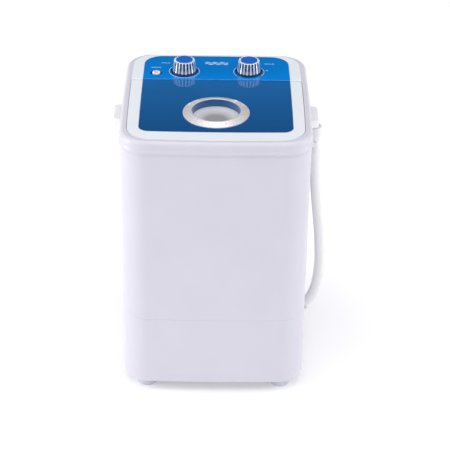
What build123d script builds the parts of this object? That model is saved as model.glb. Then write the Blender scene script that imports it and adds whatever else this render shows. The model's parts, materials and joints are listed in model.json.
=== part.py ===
from build123d import *
from math import atan2, cos, hypot, pi, radians, sin, tan
import os

# A small top load washing machine with a spin basket, in millimetres.
# X points right, the front faces -Y, Z is up, and the origin lies on the floor
# under the middle of the cabinet.

os.makedirs("parts", exist_ok=True)

# ---- Overall sizes ----
BODY_WIDTH = 363.0
BODY_DEPTH = 390.0
HEIGHT = 570.0  # floor to the top face of the blue window
FOOT_HEIGHT = 20.0
FOOT_RADIUS = 20.0
FOOT_INSET_X = 46.5
FOOT_INSET_Y = 38.0
BASE_HEIGHT = 154.0
FOOT_ROUND = 2.0

# ---- Casing ----
WALL = 3.0
FLOOR_THICKNESS = 3.5
PAN_LEDGE = 14.0  # reach of the skirt's ledge under the pan, from the outer wall
PAN_LIP = 2.0
PAN_LAP = 4.0
BODY_CORNER = 52.0
SIDE_BOW = 2.5
FRONT_BOW = 5.0
REAR_BOW = 2.0
BOTTOM_ROUND = 7.0
SEAM_CHAMFER = 0.5
FIT_GAP = 0.3
SPIGOT_HEIGHT = 8.0
SPIGOT_WALL = 2.5
THROUGH = 12.0  # depth of a cut that must pass through any wall

# ---- Top deck: collar, lid and control housing ----
COLLAR_HEIGHT = 28.0
COLLAR_TOP_DROP = 1.0  # collar's top below the blue window's face
COLLAR_PROUD = 0.3
BEAD_PROUD = 2.4
BEAD_HEIGHT = 2.0
BEAD_SLOPE = 5.0  # height of the slope from the collar's wall out to the bead
BEAD_RISE = 5.5  # from the collar's lower edge
BEAD_ROUND = 1.0
SHOULDER_ROUND = 9.0
RIM_SIDE = 12.1
RIM_FRONT = 12.0
RIM_REAR = 7.0
TOP_CORNER = 50.0
DECK_DROP = 12.0  # deck's upper face below the blue window's face
DECK_THICKNESS = 3.0
DECK_WEB = 12.0  # deck between the mouth and the control opening
DECK_LEDGE = 16.0
DECK_OVERLAP = 8.0  # length of the collar's spigot inside the cabinet
BLUE_SIDE = 35.5
BLUE_FRONT = 45.0
BLUE_REAR = 15.0
BLUE_FRONT_CORNER = 19.0
BLUE_REAR_CORNER = 36.0
BLUE_SIDE_BOW = 1.0
BLUE_END_BOW = 3.0
BLUE_THICKNESS = 3.6
BLUE_PROUD = 0.6
CONTROL_DEPTH = 115.6
LID_GAP = 0.8
HOUSING_GAP = 0.3
LID_REST_GAP = 0.3
LID_SKIN = 3.0
LID_SKIRT = 2.5
SEAT_WIDTH = 6.0
SEAT_WALL = 2.8
SEAT_THICKNESS = 3.0
TRIM_GAP = 0.2
HINGE_ROLL_RADIUS = 4.6
HINGE_CLEARANCE = 0.6
HINGE_CHAMFER = 0.8
PIN_RADIUS = 2.0
HINGE_END_GAP = 0.6  # barrel's end off the collar, beyond the lid's gap
PIN_LENGTH = 22.0
PIN_ENGAGEMENT = 4.6  # length of the pin inside the collar
RUN_CLEARANCE = 0.04

# ---- Lid grip ----
GRIP_OFFSET = 138.2  # hinge axis to the grip's centre
GRIP_OUTER_RADIUS = 63.8
GRIP_INNER_RADIUS = 46.6
GRIP_RISE = 6.0
GRIP_CREST = 3.0
GRIP_EDGE = 1.2
GRIP_ROUND = 0.5
WELL_WALL = 2.5
WELL_DEPTH = 17.0
WELL_FLOOR = 2.5
DISH_FLAT_RADIUS = 25.0
DISH_RISE = 7.0
DISH_THICKNESS = 2.0

# ---- Knobs and what they turn ----
KNOB_X = 64.5
KNOB_SETBACK = 36.6  # control housing's front edge to the knob axes
KNOB_FLANGE_RADIUS = 26.6
KNOB_BASE_RADIUS = 24.0
KNOB_TOP_RADIUS = 20.5
KNOB_HEIGHT = 23.5
KNOB_GAP = 1.0
KNOB_FLANGE = 2.0
CAP_RADIUS = 17.2
CAP_HEIGHT = 6.0
CAP_ROUND = 1.5
CAP_RECESS = 4.0
FLUTES = 20
FLUTE_RADIUS = 2.5
FLUTE_DEPTH = 1.4
KNOB_SHAFT_RADIUS = 3.0
KNOB_SHAFT_SOCKET = 14.0
SHAFT_HOLE_GAP = 1.0
TIMER_SIZE = 38.0
TIMER_HEIGHT = 26.0
SWITCH_WIDTH = 36.0
SWITCH_DEPTH = 28.0
SWITCH_HEIGHT = 20.0
NECK_RADIUS = 9.0
NECK_HEIGHT = 2.4
SHAFT_DEPTH = 16.0  # reach of a knob shaft inside the timer or the switch
SHAFT_END_GAP = 1.0

# ---- Water inlet ----
INLET_INSET = 61.0  # casing's side to the nozzle's axis
INLET_SETBACK = 28.4
NOZZLE_RADIUS = 8.0
NOZZLE_BORE = 4.5
NOZZLE_RISE = 1.5
NOZZLE_ROUND = 0.75
NOZZLE_DROP = 25.0
NOZZLE_FLANGE_RADIUS = 11.5
NOZZLE_FLANGE = 2.5
INLET_RECESS_RADIUS = 12.0
DUCT_RADIUS = 7.5
DUCT_BORE = 5.5
DUCT_BEND = 14.0
DUCT_DROP = 52.0  # from the blue face to the duct's level run

# ---- Wash tub and basket ----
TUB_OUTER_RADIUS = 136.0
TUB_WALL = 3.0
TUB_GAP = 9.0  # tub to the inside of the front wall
TUB_FLOOR_Z = 150.0
TUB_FLOOR = 3.5
TUB_FLANGE = 7.0
TUB_FLANGE_THICKNESS = 3.0
MOUTH_MARGIN = 15.0  # collar's mouth inside the tub wall
MOUTH_LIP = 3.0
MOUTH_LIP_DROP = 10.0
POST_RADIUS = 8.0
POST_CIRCLE = 115.0
POST_ANGLES = (20, 160, 215, 325)
BASKET_GAP = 21.0
BASKET_WALL = 2.0
BASKET_FLOOR = 3.0
BASKET_HEIGHT = 226.0
BASKET_LIP = 3.0
BASKET_LIP_ROUND = 1.0
BASKET_HOLE_RADIUS = 4.0
BASKET_HOLES = 18
BASKET_ROWS = 6
FLOOR_HOLE_CIRCLES = (49.5, 82.5)
LINT_ANGLE = 60.0
LINT_SPAN = 26.0
LINT_THICKNESS = 8.0
LINT_HEIGHT = 90.0
LINT_Z = 440.0

# ---- Drive ----
SHAFT_RADIUS = 6.0
BEARING_RADIUS = 14.0
BEARING_WIDTH = 8.0
BEARING_SPACING = 10.0
HOUSING_RADIUS = 20.0
HOUSING_FLANGE_RADIUS = 34.0
HOUSING_FLANGE = 3.5
HOUSING_LENGTH = 36.0
SEAL_WIDTH = 7.0
PULSATOR_GAP = 4.0
PULSATOR_RADIUS = 105.0
PULSATOR_DISC = 6.0
PULSATOR_RIBS = 6
RIB_WIDTH = 9.0
RIB_HEIGHT = 16.0
HUB_RADIUS = 18.0
HUB_HEIGHT = 34.0
HUB_GAP = 0.6
HUB_NECK = 11.0
SHAFT_TOP_DROP = 10.0  # hub's top to the drive shaft's top
RIB_LENGTH = 84.0
PULLEY_WIDTH = 16.0
PULLEY_GAP = 5.0  # bearing housing to the pulley
PULLEY_PITCH_RADIUS = 60.0
MOTOR_PITCH_RADIUS = 15.0
SHAFT_DISTANCE = 135.0
BELT_WIDTH = 9.0
BELT_THICKNESS = 6.0
BELT_GAP = 0.4
GROOVE_FLARE = 1.6
PULLEY_WEB = 5.0
PULLEY_HUB_RADIUS = 14.0
PULLEY_RIM = 6.0
NUT_RADIUS = 9.0
NUT_HEIGHT = 7.0

# ---- Motor ----
MOTOR_RADIUS = 56.0
MOTOR_HEIGHT = 46.0
MOTOR_END_RADIUS = 50.0
MOTOR_END_HEIGHT = 12.0
MOTOR_BOSS_RADIUS = 15.0
MOTOR_BOSS_HEIGHT = 3.0
MOTOR_SHAFT_RADIUS = 5.0
MOTOR_SHAFT_DEPTH = 20.0
MOTOR_PLATE = 3.0
MOTOR_PLATE_SIZE = 146.0
MOTOR_PLATE_CORNER = 10.0
MOTOR_BOLT_PITCH = 124.0
MOTOR_POST_RADIUS = 8.0
GROMMET_RADIUS = 9.0
GROMMET_HEIGHT = 6.0
BOLT_RADIUS = 3.0
BOLT_HEAD_RADIUS = 5.5
BOLT_HEAD = 4.0
BOLT_LENGTH = 16.0
CAPACITOR_RADIUS = 18.0
CAPACITOR_HEIGHT = 58.0
CAPACITOR_ROUND = 3.0
CAPACITOR_PLACE = (-118.0, 72.0)

# ---- Fasteners ----
SCREW_RADIUS = 2.0
SCREW_LENGTH = 6.0
SCREW_HEAD_RADIUS = 3.2
SCREW_HEAD = 2.4
FOOT_SCREW_RADIUS = 2.5
FOOT_SCREW_LENGTH = 14.0
FOOT_SCREW_HEAD_RADIUS = 5.0
FOOT_SCREW_HEAD = 3.5
SEAT_RELIEF = 0.2  # screw head off a bowed wall

# ---- Covers, handles and the drain ----
BOTTOM_COVER_DEPTH = 150.0
BOTTOM_COVER_FOOT_GAP = 25.0
BOTTOM_COVER_THICKNESS = 2.0
BOTTOM_COVER_LAP = 10.0
BOTTOM_COVER_FRONT = 40.0  # cabinet's front to the cover's front edge
VENT_WIDTH = 4.0
VENT_LENGTH = 56.0
VENT_PITCH = 11.0
VENT_COLUMNS = 2
BOTTOM_VENT_ROWS = 9
REAR_VENT_ROWS = 7
REAR_COVER_SIZE = (190.0, 118.0)
REAR_COVER_THICKNESS = 2.5
REAR_COVER_LAP = 12.0
REAR_COVER_RISE = 16.0
GLAND_X = -118.0
GLAND_Z = 62.0
GLAND_RADIUS = 6.5
GLAND_BORE = 3.5
GLAND_FLANGE_RADIUS = 9.5
GLAND_FLANGE = 2.0
GLAND_NOSE = 5.0
HANDLE_LENGTH = 71.0
HANDLE_TAPER = 6.0
HANDLE_Y = -2.5
HANDLE_REACH = 18.0
HANDLE_HEIGHT = 15.0
HANDLE_TOP_DROP = 35.0
HANDLE_SKIN = 3.0
HANDLE_END = 7.0
HANDLE_ROUND = 5.0
HANDLE_EDGE_ROUND = 1.2
HOSE_RADIUS = 11.0
HOSE_BORE = 8.5
HOSE_POINTS = [
    (193.0, 30.0, 66.0),
    (205.0, 30.0, 82.5),
    (214.5, 29.5, 109.0),
    (220.5, 28.0, 159.0),
    (217.0, 25.0, 240.0),
    (204.5, 18.0, 340.0),
    (197.5, 11.0, 430.0),
    (196.0, 8.0, 497.0),
]
CORNER_SHARE = 0.45  # of the shorter run, taken by each corner's arc
ELBOW_BEND = 14.0
ELBOW_INSIDE = 9.0
ELBOW_FLANGE_RADIUS = 16.0
ELBOW_FLANGE = 2.0
DRAIN_X = 90.0
STRAINER_RADIUS = 10.5
STRAINER_HEIGHT = 2.5
STRAINER_HOLE_RADIUS = 1.5
STRAINER_HOLES = 6

TUB_SCREWS = 6
HOUSING_SCREWS = 3
HOUSING_SCREW_TURN = 30  # turn of the first housing screw from the X axis, in degrees
DRAIN_BEND = 24.0
CUFF_WALL = 2.0
CUFF_GRIP = 12.0
CUFF_NOSE = 6.0
CLIP_Z = 466.0
CLIP_HEIGHT = 12.0
CLIP_GAP = 0.4
CLIP_ARM = 2.6
CLIP_REACH = 18.0

# ---- Levels and places that follow from the sizes above ----
base_bottom = FOOT_HEIGHT
base_top = base_bottom + BASE_HEIGHT
floor_top = base_bottom + FLOOR_THICKNESS
ledge_top = floor_top
collar_top = HEIGHT - COLLAR_TOP_DROP
cabinet_top = collar_top - COLLAR_HEIGHT
bead_bottom = cabinet_top + BEAD_RISE
deck_top = HEIGHT - DECK_DROP
deck_bottom = deck_top - DECK_THICKNESS
frame_top = HEIGHT - BLUE_PROUD
blue_bottom = HEIGHT - BLUE_THICKNESS
panel_seat_bottom = blue_bottom - SEAT_THICKNESS
lid_bottom = deck_top + LID_REST_GAP

body_side = BODY_WIDTH / 2
body_front = -BODY_DEPTH / 2
body_rear = BODY_DEPTH / 2
top_side = body_side - RIM_SIDE
control_front = body_rear - RIM_REAR - CONTROL_DEPTH
hinge_y = control_front - HINGE_CLEARANCE - HINGE_ROLL_RADIUS
hinge_z = HEIGHT - HINGE_ROLL_RADIUS
frame_roll_radius = HINGE_ROLL_RADIUS - BLUE_PROUD
grip_y = hinge_y - GRIP_OFFSET
knob_y = control_front + KNOB_SETBACK
inlet_x = INLET_INSET - body_side
inlet_y = control_front + INLET_SETBACK

tub_y = body_front + WALL + TUB_GAP + TUB_OUTER_RADIUS
tub_radius = TUB_OUTER_RADIUS - TUB_WALL
tub_floor_top = TUB_FLOOR_Z + TUB_FLOOR
mouth_radius = tub_radius - MOUTH_MARGIN
pulsator_bottom = tub_floor_top + PULSATOR_GAP
hub_top = pulsator_bottom + HUB_HEIGHT
basket_radius = tub_radius - BASKET_GAP
basket_bottom = hub_top
housing_bottom = TUB_FLOOR_Z - HOUSING_LENGTH
pulley_top = housing_bottom - PULLEY_GAP
pulley_bottom = pulley_top - PULLEY_WIDTH
belt_z = (pulley_top + pulley_bottom) / 2
shaft_top = hub_top - SHAFT_TOP_DROP
motor_y = tub_y + SHAFT_DISTANCE
motor_top = pulley_bottom - PULLEY_GAP
motor_bottom = motor_top - MOTOR_HEIGHT
plate_bottom = motor_bottom - MOTOR_PLATE
grommet_bottom = plate_bottom - GROMMET_HEIGHT

drain_y = HOSE_POINTS[0][1]
hose_run = (HOSE_POINTS[1][0] - HOSE_POINTS[0][0], HOSE_POINTS[1][2] - HOSE_POINTS[0][2])
elbow_turn = atan2(hose_run[1], hose_run[0])
elbow_x = HOSE_POINTS[0][0] - ELBOW_BEND * sin(elbow_turn)
elbow_z = HOSE_POINTS[0][2] - ELBOW_BEND * (1 - cos(elbow_turn))

FROM_BOTTOM = (Align.CENTER, Align.CENTER, Align.MIN)
FROM_TOP = (Align.CENTER, Align.CENTER, Align.MAX)


def bowed_plan(half_width, front, rear, bows, corners):
    """An outline from above: four gently bowed sides and rounded corners."""
    side = half_width - bows[0]
    fore = front + bows[1]
    aft = rear - bows[2]
    middle = (fore + aft) / 2
    with BuildSketch(mode=Mode.PRIVATE) as plan:
        with BuildLine():
            ThreePointArc((-side, fore), (0, front), (side, fore))
            ThreePointArc((side, fore), (half_width, middle), (side, aft))
            ThreePointArc((side, aft), (0, rear), (-side, aft))
            ThreePointArc((-side, aft), (-half_width, middle), (-side, fore))
        make_face()
        fillet(plan.vertices().group_by(Axis.Y)[0], corners[0])
        fillet(plan.vertices().group_by(Axis.Y)[-1], corners[1])
    return plan.sketch


def body_plan(inset=0.0):
    """The cabinet's outline, moved inwards by inset."""
    corner = BODY_CORNER - inset
    bows = (SIDE_BOW, FRONT_BOW, REAR_BOW)
    return bowed_plan(body_side - inset, body_front + inset, body_rear - inset, bows, (corner, corner))


def top_plan(inset=0.0):
    """The outline that the lid and the control housing fill together."""
    corner = TOP_CORNER - inset
    bows = (SIDE_BOW, FRONT_BOW, REAR_BOW)
    front = body_front + RIM_FRONT + inset
    rear = body_rear - RIM_REAR - inset
    return bowed_plan(top_side - inset, front, rear, bows, (corner, corner))


def blue_plan(inset=0.0):
    """The outline of the blue window and the blue panel together."""
    bows = (BLUE_SIDE_BOW, BLUE_END_BOW, REAR_BOW)
    corners = (BLUE_FRONT_CORNER - inset, BLUE_REAR_CORNER - inset)
    front = body_front + BLUE_FRONT + inset
    rear = body_rear - BLUE_REAR - inset
    return bowed_plan(body_side - BLUE_SIDE - inset, front, rear, bows, corners)


def keep_front_of(y):
    """Trim the current sketch to what lies in front of y."""
    with Locations((0, y)):
        Rectangle(BODY_WIDTH, 2 * BODY_DEPTH, align=(Align.CENTER, Align.MAX), mode=Mode.INTERSECT)


def keep_behind(y):
    """Trim the current sketch to what lies behind y."""
    with Locations((0, y)):
        Rectangle(BODY_WIDTH, 2 * BODY_DEPTH, align=(Align.CENTER, Align.MIN), mode=Mode.INTERSECT)


def around(radius, angle, z):
    """A point on a circle about the tub's axis."""
    return (radius * cos(radians(angle)), tub_y + radius * sin(radians(angle)), z)


def screw_place(origin, direction):
    """A screw's place: the head's seat, driven along direction."""
    return Plane(origin=origin, z_dir=direction).location


# ---- Screw places, shared by the pieces that the screws join ----
cover_width = 2 * (body_side - FOOT_INSET_X - FOOT_RADIUS - BOTTOM_COVER_FOOT_GAP)
cover_y = body_front + BOTTOM_COVER_FRONT + BOTTOM_COVER_DEPTH / 2
cover_bottom = base_bottom - BOTTOM_COVER_THICKNESS
bottom_screws = [
    screw_place((side * (cover_width - BOTTOM_COVER_LAP) / 2,
                 cover_y + end * (BOTTOM_COVER_DEPTH - BOTTOM_COVER_LAP) / 2, cover_bottom), (0, 0, 1))
    for side in (-1, 1)
    for end in (-1, 1)
]
rear_width, rear_height = REAR_COVER_SIZE
rear_z = base_bottom + REAR_COVER_RISE + rear_height / 2
rear_screws = [
    screw_place((side * (rear_width - REAR_COVER_LAP) / 2,
                 body_rear + REAR_COVER_THICKNESS + SEAT_RELIEF,
                 rear_z + end * (rear_height - REAR_COVER_LAP) / 2), (0, -1, 0))
    for side in (-1, 1)
    for end in (-1, 1)
]
handle_top = HEIGHT - HANDLE_TOP_DROP
handle_middle = handle_top - HANDLE_HEIGHT / 2
handle_screws = [
    screw_place((side * (body_side - WALL - SEAT_RELIEF),
                 HANDLE_Y + end * (HANDLE_LENGTH - HANDLE_TAPER - HANDLE_END) / 2, handle_middle),
                (side, 0, 0))
    for side in (-1, 1)
    for end in (-1, 1)
]
flange_bottom = deck_bottom - TUB_FLANGE_THICKNESS
rim_screw_circle = TUB_OUTER_RADIUS + TUB_FLANGE / 2 + SEAT_RELIEF
tub_screws = [
    screw_place(around(rim_screw_circle, angle, flange_bottom), (0, 0, 1))
    for angle in range(0, 360, 360 // TUB_SCREWS)
]
housing_screw_circle = (HOUSING_RADIUS + HOUSING_FLANGE_RADIUS) / 2
housing_flange_bottom = TUB_FLOOR_Z - HOUSING_FLANGE
housing_screws = [
    screw_place(around(housing_screw_circle, angle, housing_flange_bottom), (0, 0, 1))
    for angle in range(HOUSING_SCREW_TURN, 360, 360 // HOUSING_SCREWS)
]
foot_places = {
    "front_left": (-(body_side - FOOT_INSET_X), body_front + FOOT_INSET_Y),
    "front_right": (body_side - FOOT_INSET_X, body_front + FOOT_INSET_Y),
    "rear_left": (-(body_side - FOOT_INSET_X), body_rear - FOOT_INSET_Y),
    "rear_right": (body_side - FOOT_INSET_X, body_rear - FOOT_INSET_Y),
}
half_pitch = MOTOR_BOLT_PITCH / 2
motor_bolt_places = [
    (side * half_pitch, motor_y + end * half_pitch) for side in (-1, 1) for end in (-1, 1)
]


def cut_screw_holes(places, length=SCREW_LENGTH):
    """Holes for screws at these places, in the current part."""
    with Locations(*places):
        Cylinder(SCREW_RADIUS, length, align=FROM_BOTTOM, mode=Mode.SUBTRACT)


# ---- Casing ----
# The solid that the casing's outer walls enclose. It trims what sits against them.
with BuildPart() as body_core:
    with BuildSketch(Plane.XY.offset(base_bottom)):
        add(body_plan())
    extrude(amount=HEIGHT)

# Base skirt: the lower wall, with a ledge below for the pan and a spigot above for the cabinet.
with BuildPart() as base_skirt:
    with BuildSketch(Plane.XY.offset(base_bottom)):
        add(body_plan())
    extrude(amount=BASE_HEIGHT)
    fillet(base_skirt.faces().sort_by(Axis.Z)[0].edges(), BOTTOM_ROUND)
    chamfer(base_skirt.faces().sort_by(Axis.Z)[-1].edges(), SEAM_CHAMFER)
    with BuildSketch(Plane.XY.offset(base_bottom)):
        add(body_plan(PAN_LEDGE))
    extrude(amount=BASE_HEIGHT, mode=Mode.SUBTRACT)
    with BuildSketch(Plane.XY.offset(ledge_top)):
        add(body_plan(WALL))
    extrude(amount=BASE_HEIGHT, mode=Mode.SUBTRACT)
    with BuildSketch(Plane.XY.offset(base_top - SPIGOT_HEIGHT)):
        add(body_plan(WALL))
        add(body_plan(WALL + FIT_GAP + SPIGOT_WALL), mode=Mode.SUBTRACT)
    extrude(amount=SPIGOT_HEIGHT)
    with BuildSketch(Plane.XY.offset(base_top)):
        add(body_plan(WALL + FIT_GAP))
        add(body_plan(WALL + FIT_GAP + SPIGOT_WALL), mode=Mode.SUBTRACT)
    extrude(amount=SPIGOT_HEIGHT)
    with Locations((0, body_rear, rear_z)):
        Box(rear_width - 2 * REAR_COVER_LAP, THROUGH, rear_height - 2 * REAR_COVER_LAP,
            mode=Mode.SUBTRACT)
    cut_screw_holes(rear_screws, SCREW_LENGTH + WALL)
    with Locations((GLAND_X, body_rear, GLAND_Z)):
        Cylinder(GLAND_RADIUS, THROUGH, rotation=(90, 0, 0), mode=Mode.SUBTRACT)
    with Locations((body_side, drain_y, elbow_z)):
        Cylinder(HOSE_RADIUS, THROUGH, rotation=(0, 90, 0), mode=Mode.SUBTRACT)
base_skirt.part.label = "base_skirt"
export_step(base_skirt.part, "parts/base_skirt.step")

# Base pan: the floor, a lip that laps the skirt's ledge, and posts for the tub and the motor plate.
with BuildPart() as base_pan:
    with BuildSketch(Plane.XY.offset(base_bottom)):
        add(body_plan(PAN_LEDGE + FIT_GAP))
    extrude(amount=FLOOR_THICKNESS)
    with BuildSketch(Plane.XY.offset(ledge_top)):
        add(body_plan(WALL + FIT_GAP))
        add(body_plan(PAN_LEDGE + PAN_LAP), mode=Mode.SUBTRACT)
    extrude(amount=PAN_LIP)
    with Locations(*[around(POST_CIRCLE, angle, floor_top) for angle in POST_ANGLES]):
        Cylinder(POST_RADIUS, TUB_FLOOR_Z - floor_top, align=FROM_BOTTOM)
    with Locations(*[(x, y, floor_top) for x, y in motor_bolt_places]):
        Cylinder(MOTOR_POST_RADIUS, grommet_bottom - floor_top, align=FROM_BOTTOM)
    with Locations(*[(x, y, plate_bottom + MOTOR_PLATE) for x, y in motor_bolt_places]):
        Cylinder(BOLT_RADIUS, BOLT_LENGTH, align=FROM_TOP, mode=Mode.SUBTRACT)
    with Locations(*[(x, y, floor_top) for x, y in foot_places.values()]):
        Cylinder(FOOT_SCREW_RADIUS, FLOOR_THICKNESS, align=FROM_TOP, mode=Mode.SUBTRACT)
    with Locations((0, cover_y, base_bottom)):
        Box(cover_width - 2 * BOTTOM_COVER_LAP, BOTTOM_COVER_DEPTH - 2 * BOTTOM_COVER_LAP, FLOOR_THICKNESS,
            align=FROM_BOTTOM, mode=Mode.SUBTRACT)
    cut_screw_holes(bottom_screws)
base_pan.part.label = "base_pan"
export_step(base_pan.part, "parts/base_pan.step")

# Cabinet: the tall outer wall, open at both ends.
with BuildPart() as cabinet:
    with BuildSketch(Plane.XY.offset(base_top)):
        add(body_plan())
    extrude(amount=cabinet_top - base_top)
    chamfer(cabinet.faces().sort_by(Axis.Z)[0].edges(), SEAM_CHAMFER)
    chamfer(cabinet.faces().sort_by(Axis.Z)[-1].edges(), SEAM_CHAMFER)
    with BuildSketch(Plane.XY.offset(base_top)):
        add(body_plan(WALL))
    extrude(amount=cabinet_top - base_top, mode=Mode.SUBTRACT)
    cut_screw_holes(handle_screws)
cabinet.part.label = "cabinet"
export_step(cabinet.part, "parts/cabinet.step")

# Bottom cover: a vented plate under the base, below the drive pulley.
with BuildPart() as bottom_cover:
    with BuildSketch(Plane.XY.offset(cover_bottom)):
        with Locations((0, cover_y)):
            RectangleRounded(cover_width, BOTTOM_COVER_DEPTH, BOTTOM_COVER_LAP)
            with GridLocations(VENT_LENGTH + VENT_PITCH, VENT_PITCH, VENT_COLUMNS, BOTTOM_VENT_ROWS):
                SlotOverall(VENT_LENGTH, VENT_WIDTH, mode=Mode.SUBTRACT)
    extrude(amount=BOTTOM_COVER_THICKNESS)
    cut_screw_holes(bottom_screws)
bottom_cover.part.label = "bottom_cover"
export_step(bottom_cover.part, "parts/bottom_cover.step")

# Rear cover: a vented plate that follows the rear wall, over the motor.
with BuildPart() as rear_cover:
    with BuildSketch(Plane.XY.offset(rear_z - rear_height / 2)):
        add(body_plan(-REAR_COVER_THICKNESS))
        add(body_plan(), mode=Mode.SUBTRACT)
        with Locations((0, body_rear)):
            Rectangle(rear_width, 2 * THROUGH, mode=Mode.INTERSECT)
    extrude(amount=rear_height)
    with BuildSketch(Plane.XZ.offset(-body_rear)):
        with Locations((0, rear_z)):
            with GridLocations(VENT_LENGTH + VENT_PITCH, VENT_PITCH, VENT_COLUMNS, REAR_VENT_ROWS):
                SlotOverall(VENT_LENGTH, VENT_WIDTH)
    extrude(amount=THROUGH, both=True, mode=Mode.SUBTRACT)
    cut_screw_holes(rear_screws, SCREW_LENGTH + WALL)
rear_cover.part.label = "rear_cover"
export_step(rear_cover.part, "parts/rear_cover.step")

# Feet: solid rubber feet with a screw socket in the top.
for place, (x, y) in foot_places.items():
    with BuildPart() as foot:
        with Locations((x, y, 0)):
            Cylinder(FOOT_RADIUS, FOOT_HEIGHT, align=FROM_BOTTOM)
        fillet(foot.edges().group_by(Axis.Z)[0], FOOT_ROUND)
        with Locations((x, y, floor_top)):
            Cylinder(FOOT_SCREW_RADIUS, FOOT_SCREW_LENGTH, align=FROM_TOP, mode=Mode.SUBTRACT)
    foot.part.label = f"foot_{place}"
    export_step(foot.part, f"parts/foot_{place}.step")

with BuildPart() as foot_screws:
    with Locations(*[(x, y, floor_top) for x, y in foot_places.values()]):
        Cylinder(FOOT_SCREW_RADIUS, FOOT_SCREW_LENGTH, align=FROM_TOP)
        Cylinder(FOOT_SCREW_HEAD_RADIUS, FOOT_SCREW_HEAD, align=FROM_BOTTOM)
foot_screws.part.label = "foot_screws"
export_step(foot_screws.part, "parts/foot_screws.step")

# Casing screws: one pattern of pan head screw, used all over.
with BuildPart() as case_screws:
    with Locations(*bottom_screws, *rear_screws, *handle_screws, *tub_screws, *housing_screws):
        Cylinder(SCREW_RADIUS, SCREW_LENGTH, align=FROM_BOTTOM)
        Cylinder(SCREW_HEAD_RADIUS, SCREW_HEAD, align=FROM_TOP)
case_screws.part.label = "case_screws"
export_step(case_screws.part, "parts/case_screws.step")

# ---- Top collar ----
# The sloped bead, the shouldered rim, the deck with the tub's mouth, and the spigot.
with BuildPart() as top_collar:
    with BuildSketch(Plane.XY.offset(bead_bottom)):
        add(body_plan(-BEAD_PROUD))
    extrude(amount=BEAD_HEIGHT)
    fillet(top_collar.edges().group_by(Axis.Z)[0], BEAD_ROUND)
    with BuildSketch(Plane.XY.offset(bead_bottom + BEAD_HEIGHT)):
        add(body_plan(-BEAD_PROUD))
    with BuildSketch(Plane.XY.offset(bead_bottom + BEAD_HEIGHT + BEAD_SLOPE)):
        add(body_plan(-COLLAR_PROUD))
    loft(ruled=True)
    with BuildSketch(Plane.XY.offset(cabinet_top)):
        add(body_plan(-COLLAR_PROUD))
    extrude(amount=COLLAR_HEIGHT)
    fillet(top_collar.faces().sort_by(Axis.Z)[-1].edges(), SHOULDER_ROUND)
    chamfer(top_collar.faces().sort_by(Axis.Z)[0].edges(), SEAM_CHAMFER)
    with BuildSketch(Plane.XY.offset(deck_top)):
        add(top_plan())
    extrude(amount=DECK_DROP, mode=Mode.SUBTRACT)
    with BuildSketch(Plane.XY.offset(cabinet_top)):
        add(body_plan(WALL))
    extrude(amount=deck_bottom - cabinet_top, mode=Mode.SUBTRACT)
    with BuildSketch(Plane.XY.offset(cabinet_top - DECK_OVERLAP)):
        add(body_plan(WALL + FIT_GAP))
        add(body_plan(WALL + FIT_GAP + SPIGOT_WALL), mode=Mode.SUBTRACT)
    extrude(amount=DECK_OVERLAP)
    with BuildSketch(Plane.XY.offset(cabinet_top)):
        add(body_plan(WALL))
        add(body_plan(WALL + FIT_GAP + SPIGOT_WALL), mode=Mode.SUBTRACT)
    extrude(amount=BEAD_RISE)
    with Locations((0, tub_y, deck_bottom)):
        Cylinder(mouth_radius + MOUTH_LIP, MOUTH_LIP_DROP, align=FROM_TOP)
    with Locations((0, tub_y, deck_top)):
        Cylinder(mouth_radius, DECK_THICKNESS + MOUTH_LIP_DROP, align=FROM_TOP, mode=Mode.SUBTRACT)
    with BuildSketch(Plane.XY.offset(deck_bottom)):
        with Locations((0, control_front + DECK_WEB)):
            Rectangle(2 * (top_side - DECK_LEDGE), CONTROL_DEPTH - DECK_WEB - DECK_LEDGE,
                      align=(Align.CENTER, Align.MIN))
    extrude(amount=DECK_THICKNESS, mode=Mode.SUBTRACT)
    cut_screw_holes(tub_screws)
    for side in (-1, 1):
        with Locations((side * top_side, hinge_y, hinge_z)):
            Cylinder(PIN_RADIUS + RUN_CLEARANCE, 2 * (PIN_ENGAGEMENT + LID_REST_GAP),
                     rotation=(0, 90, 0), mode=Mode.SUBTRACT)
top_collar.part.label = "top_collar"
export_step(top_collar.part, "parts/top_collar.step")

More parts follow.
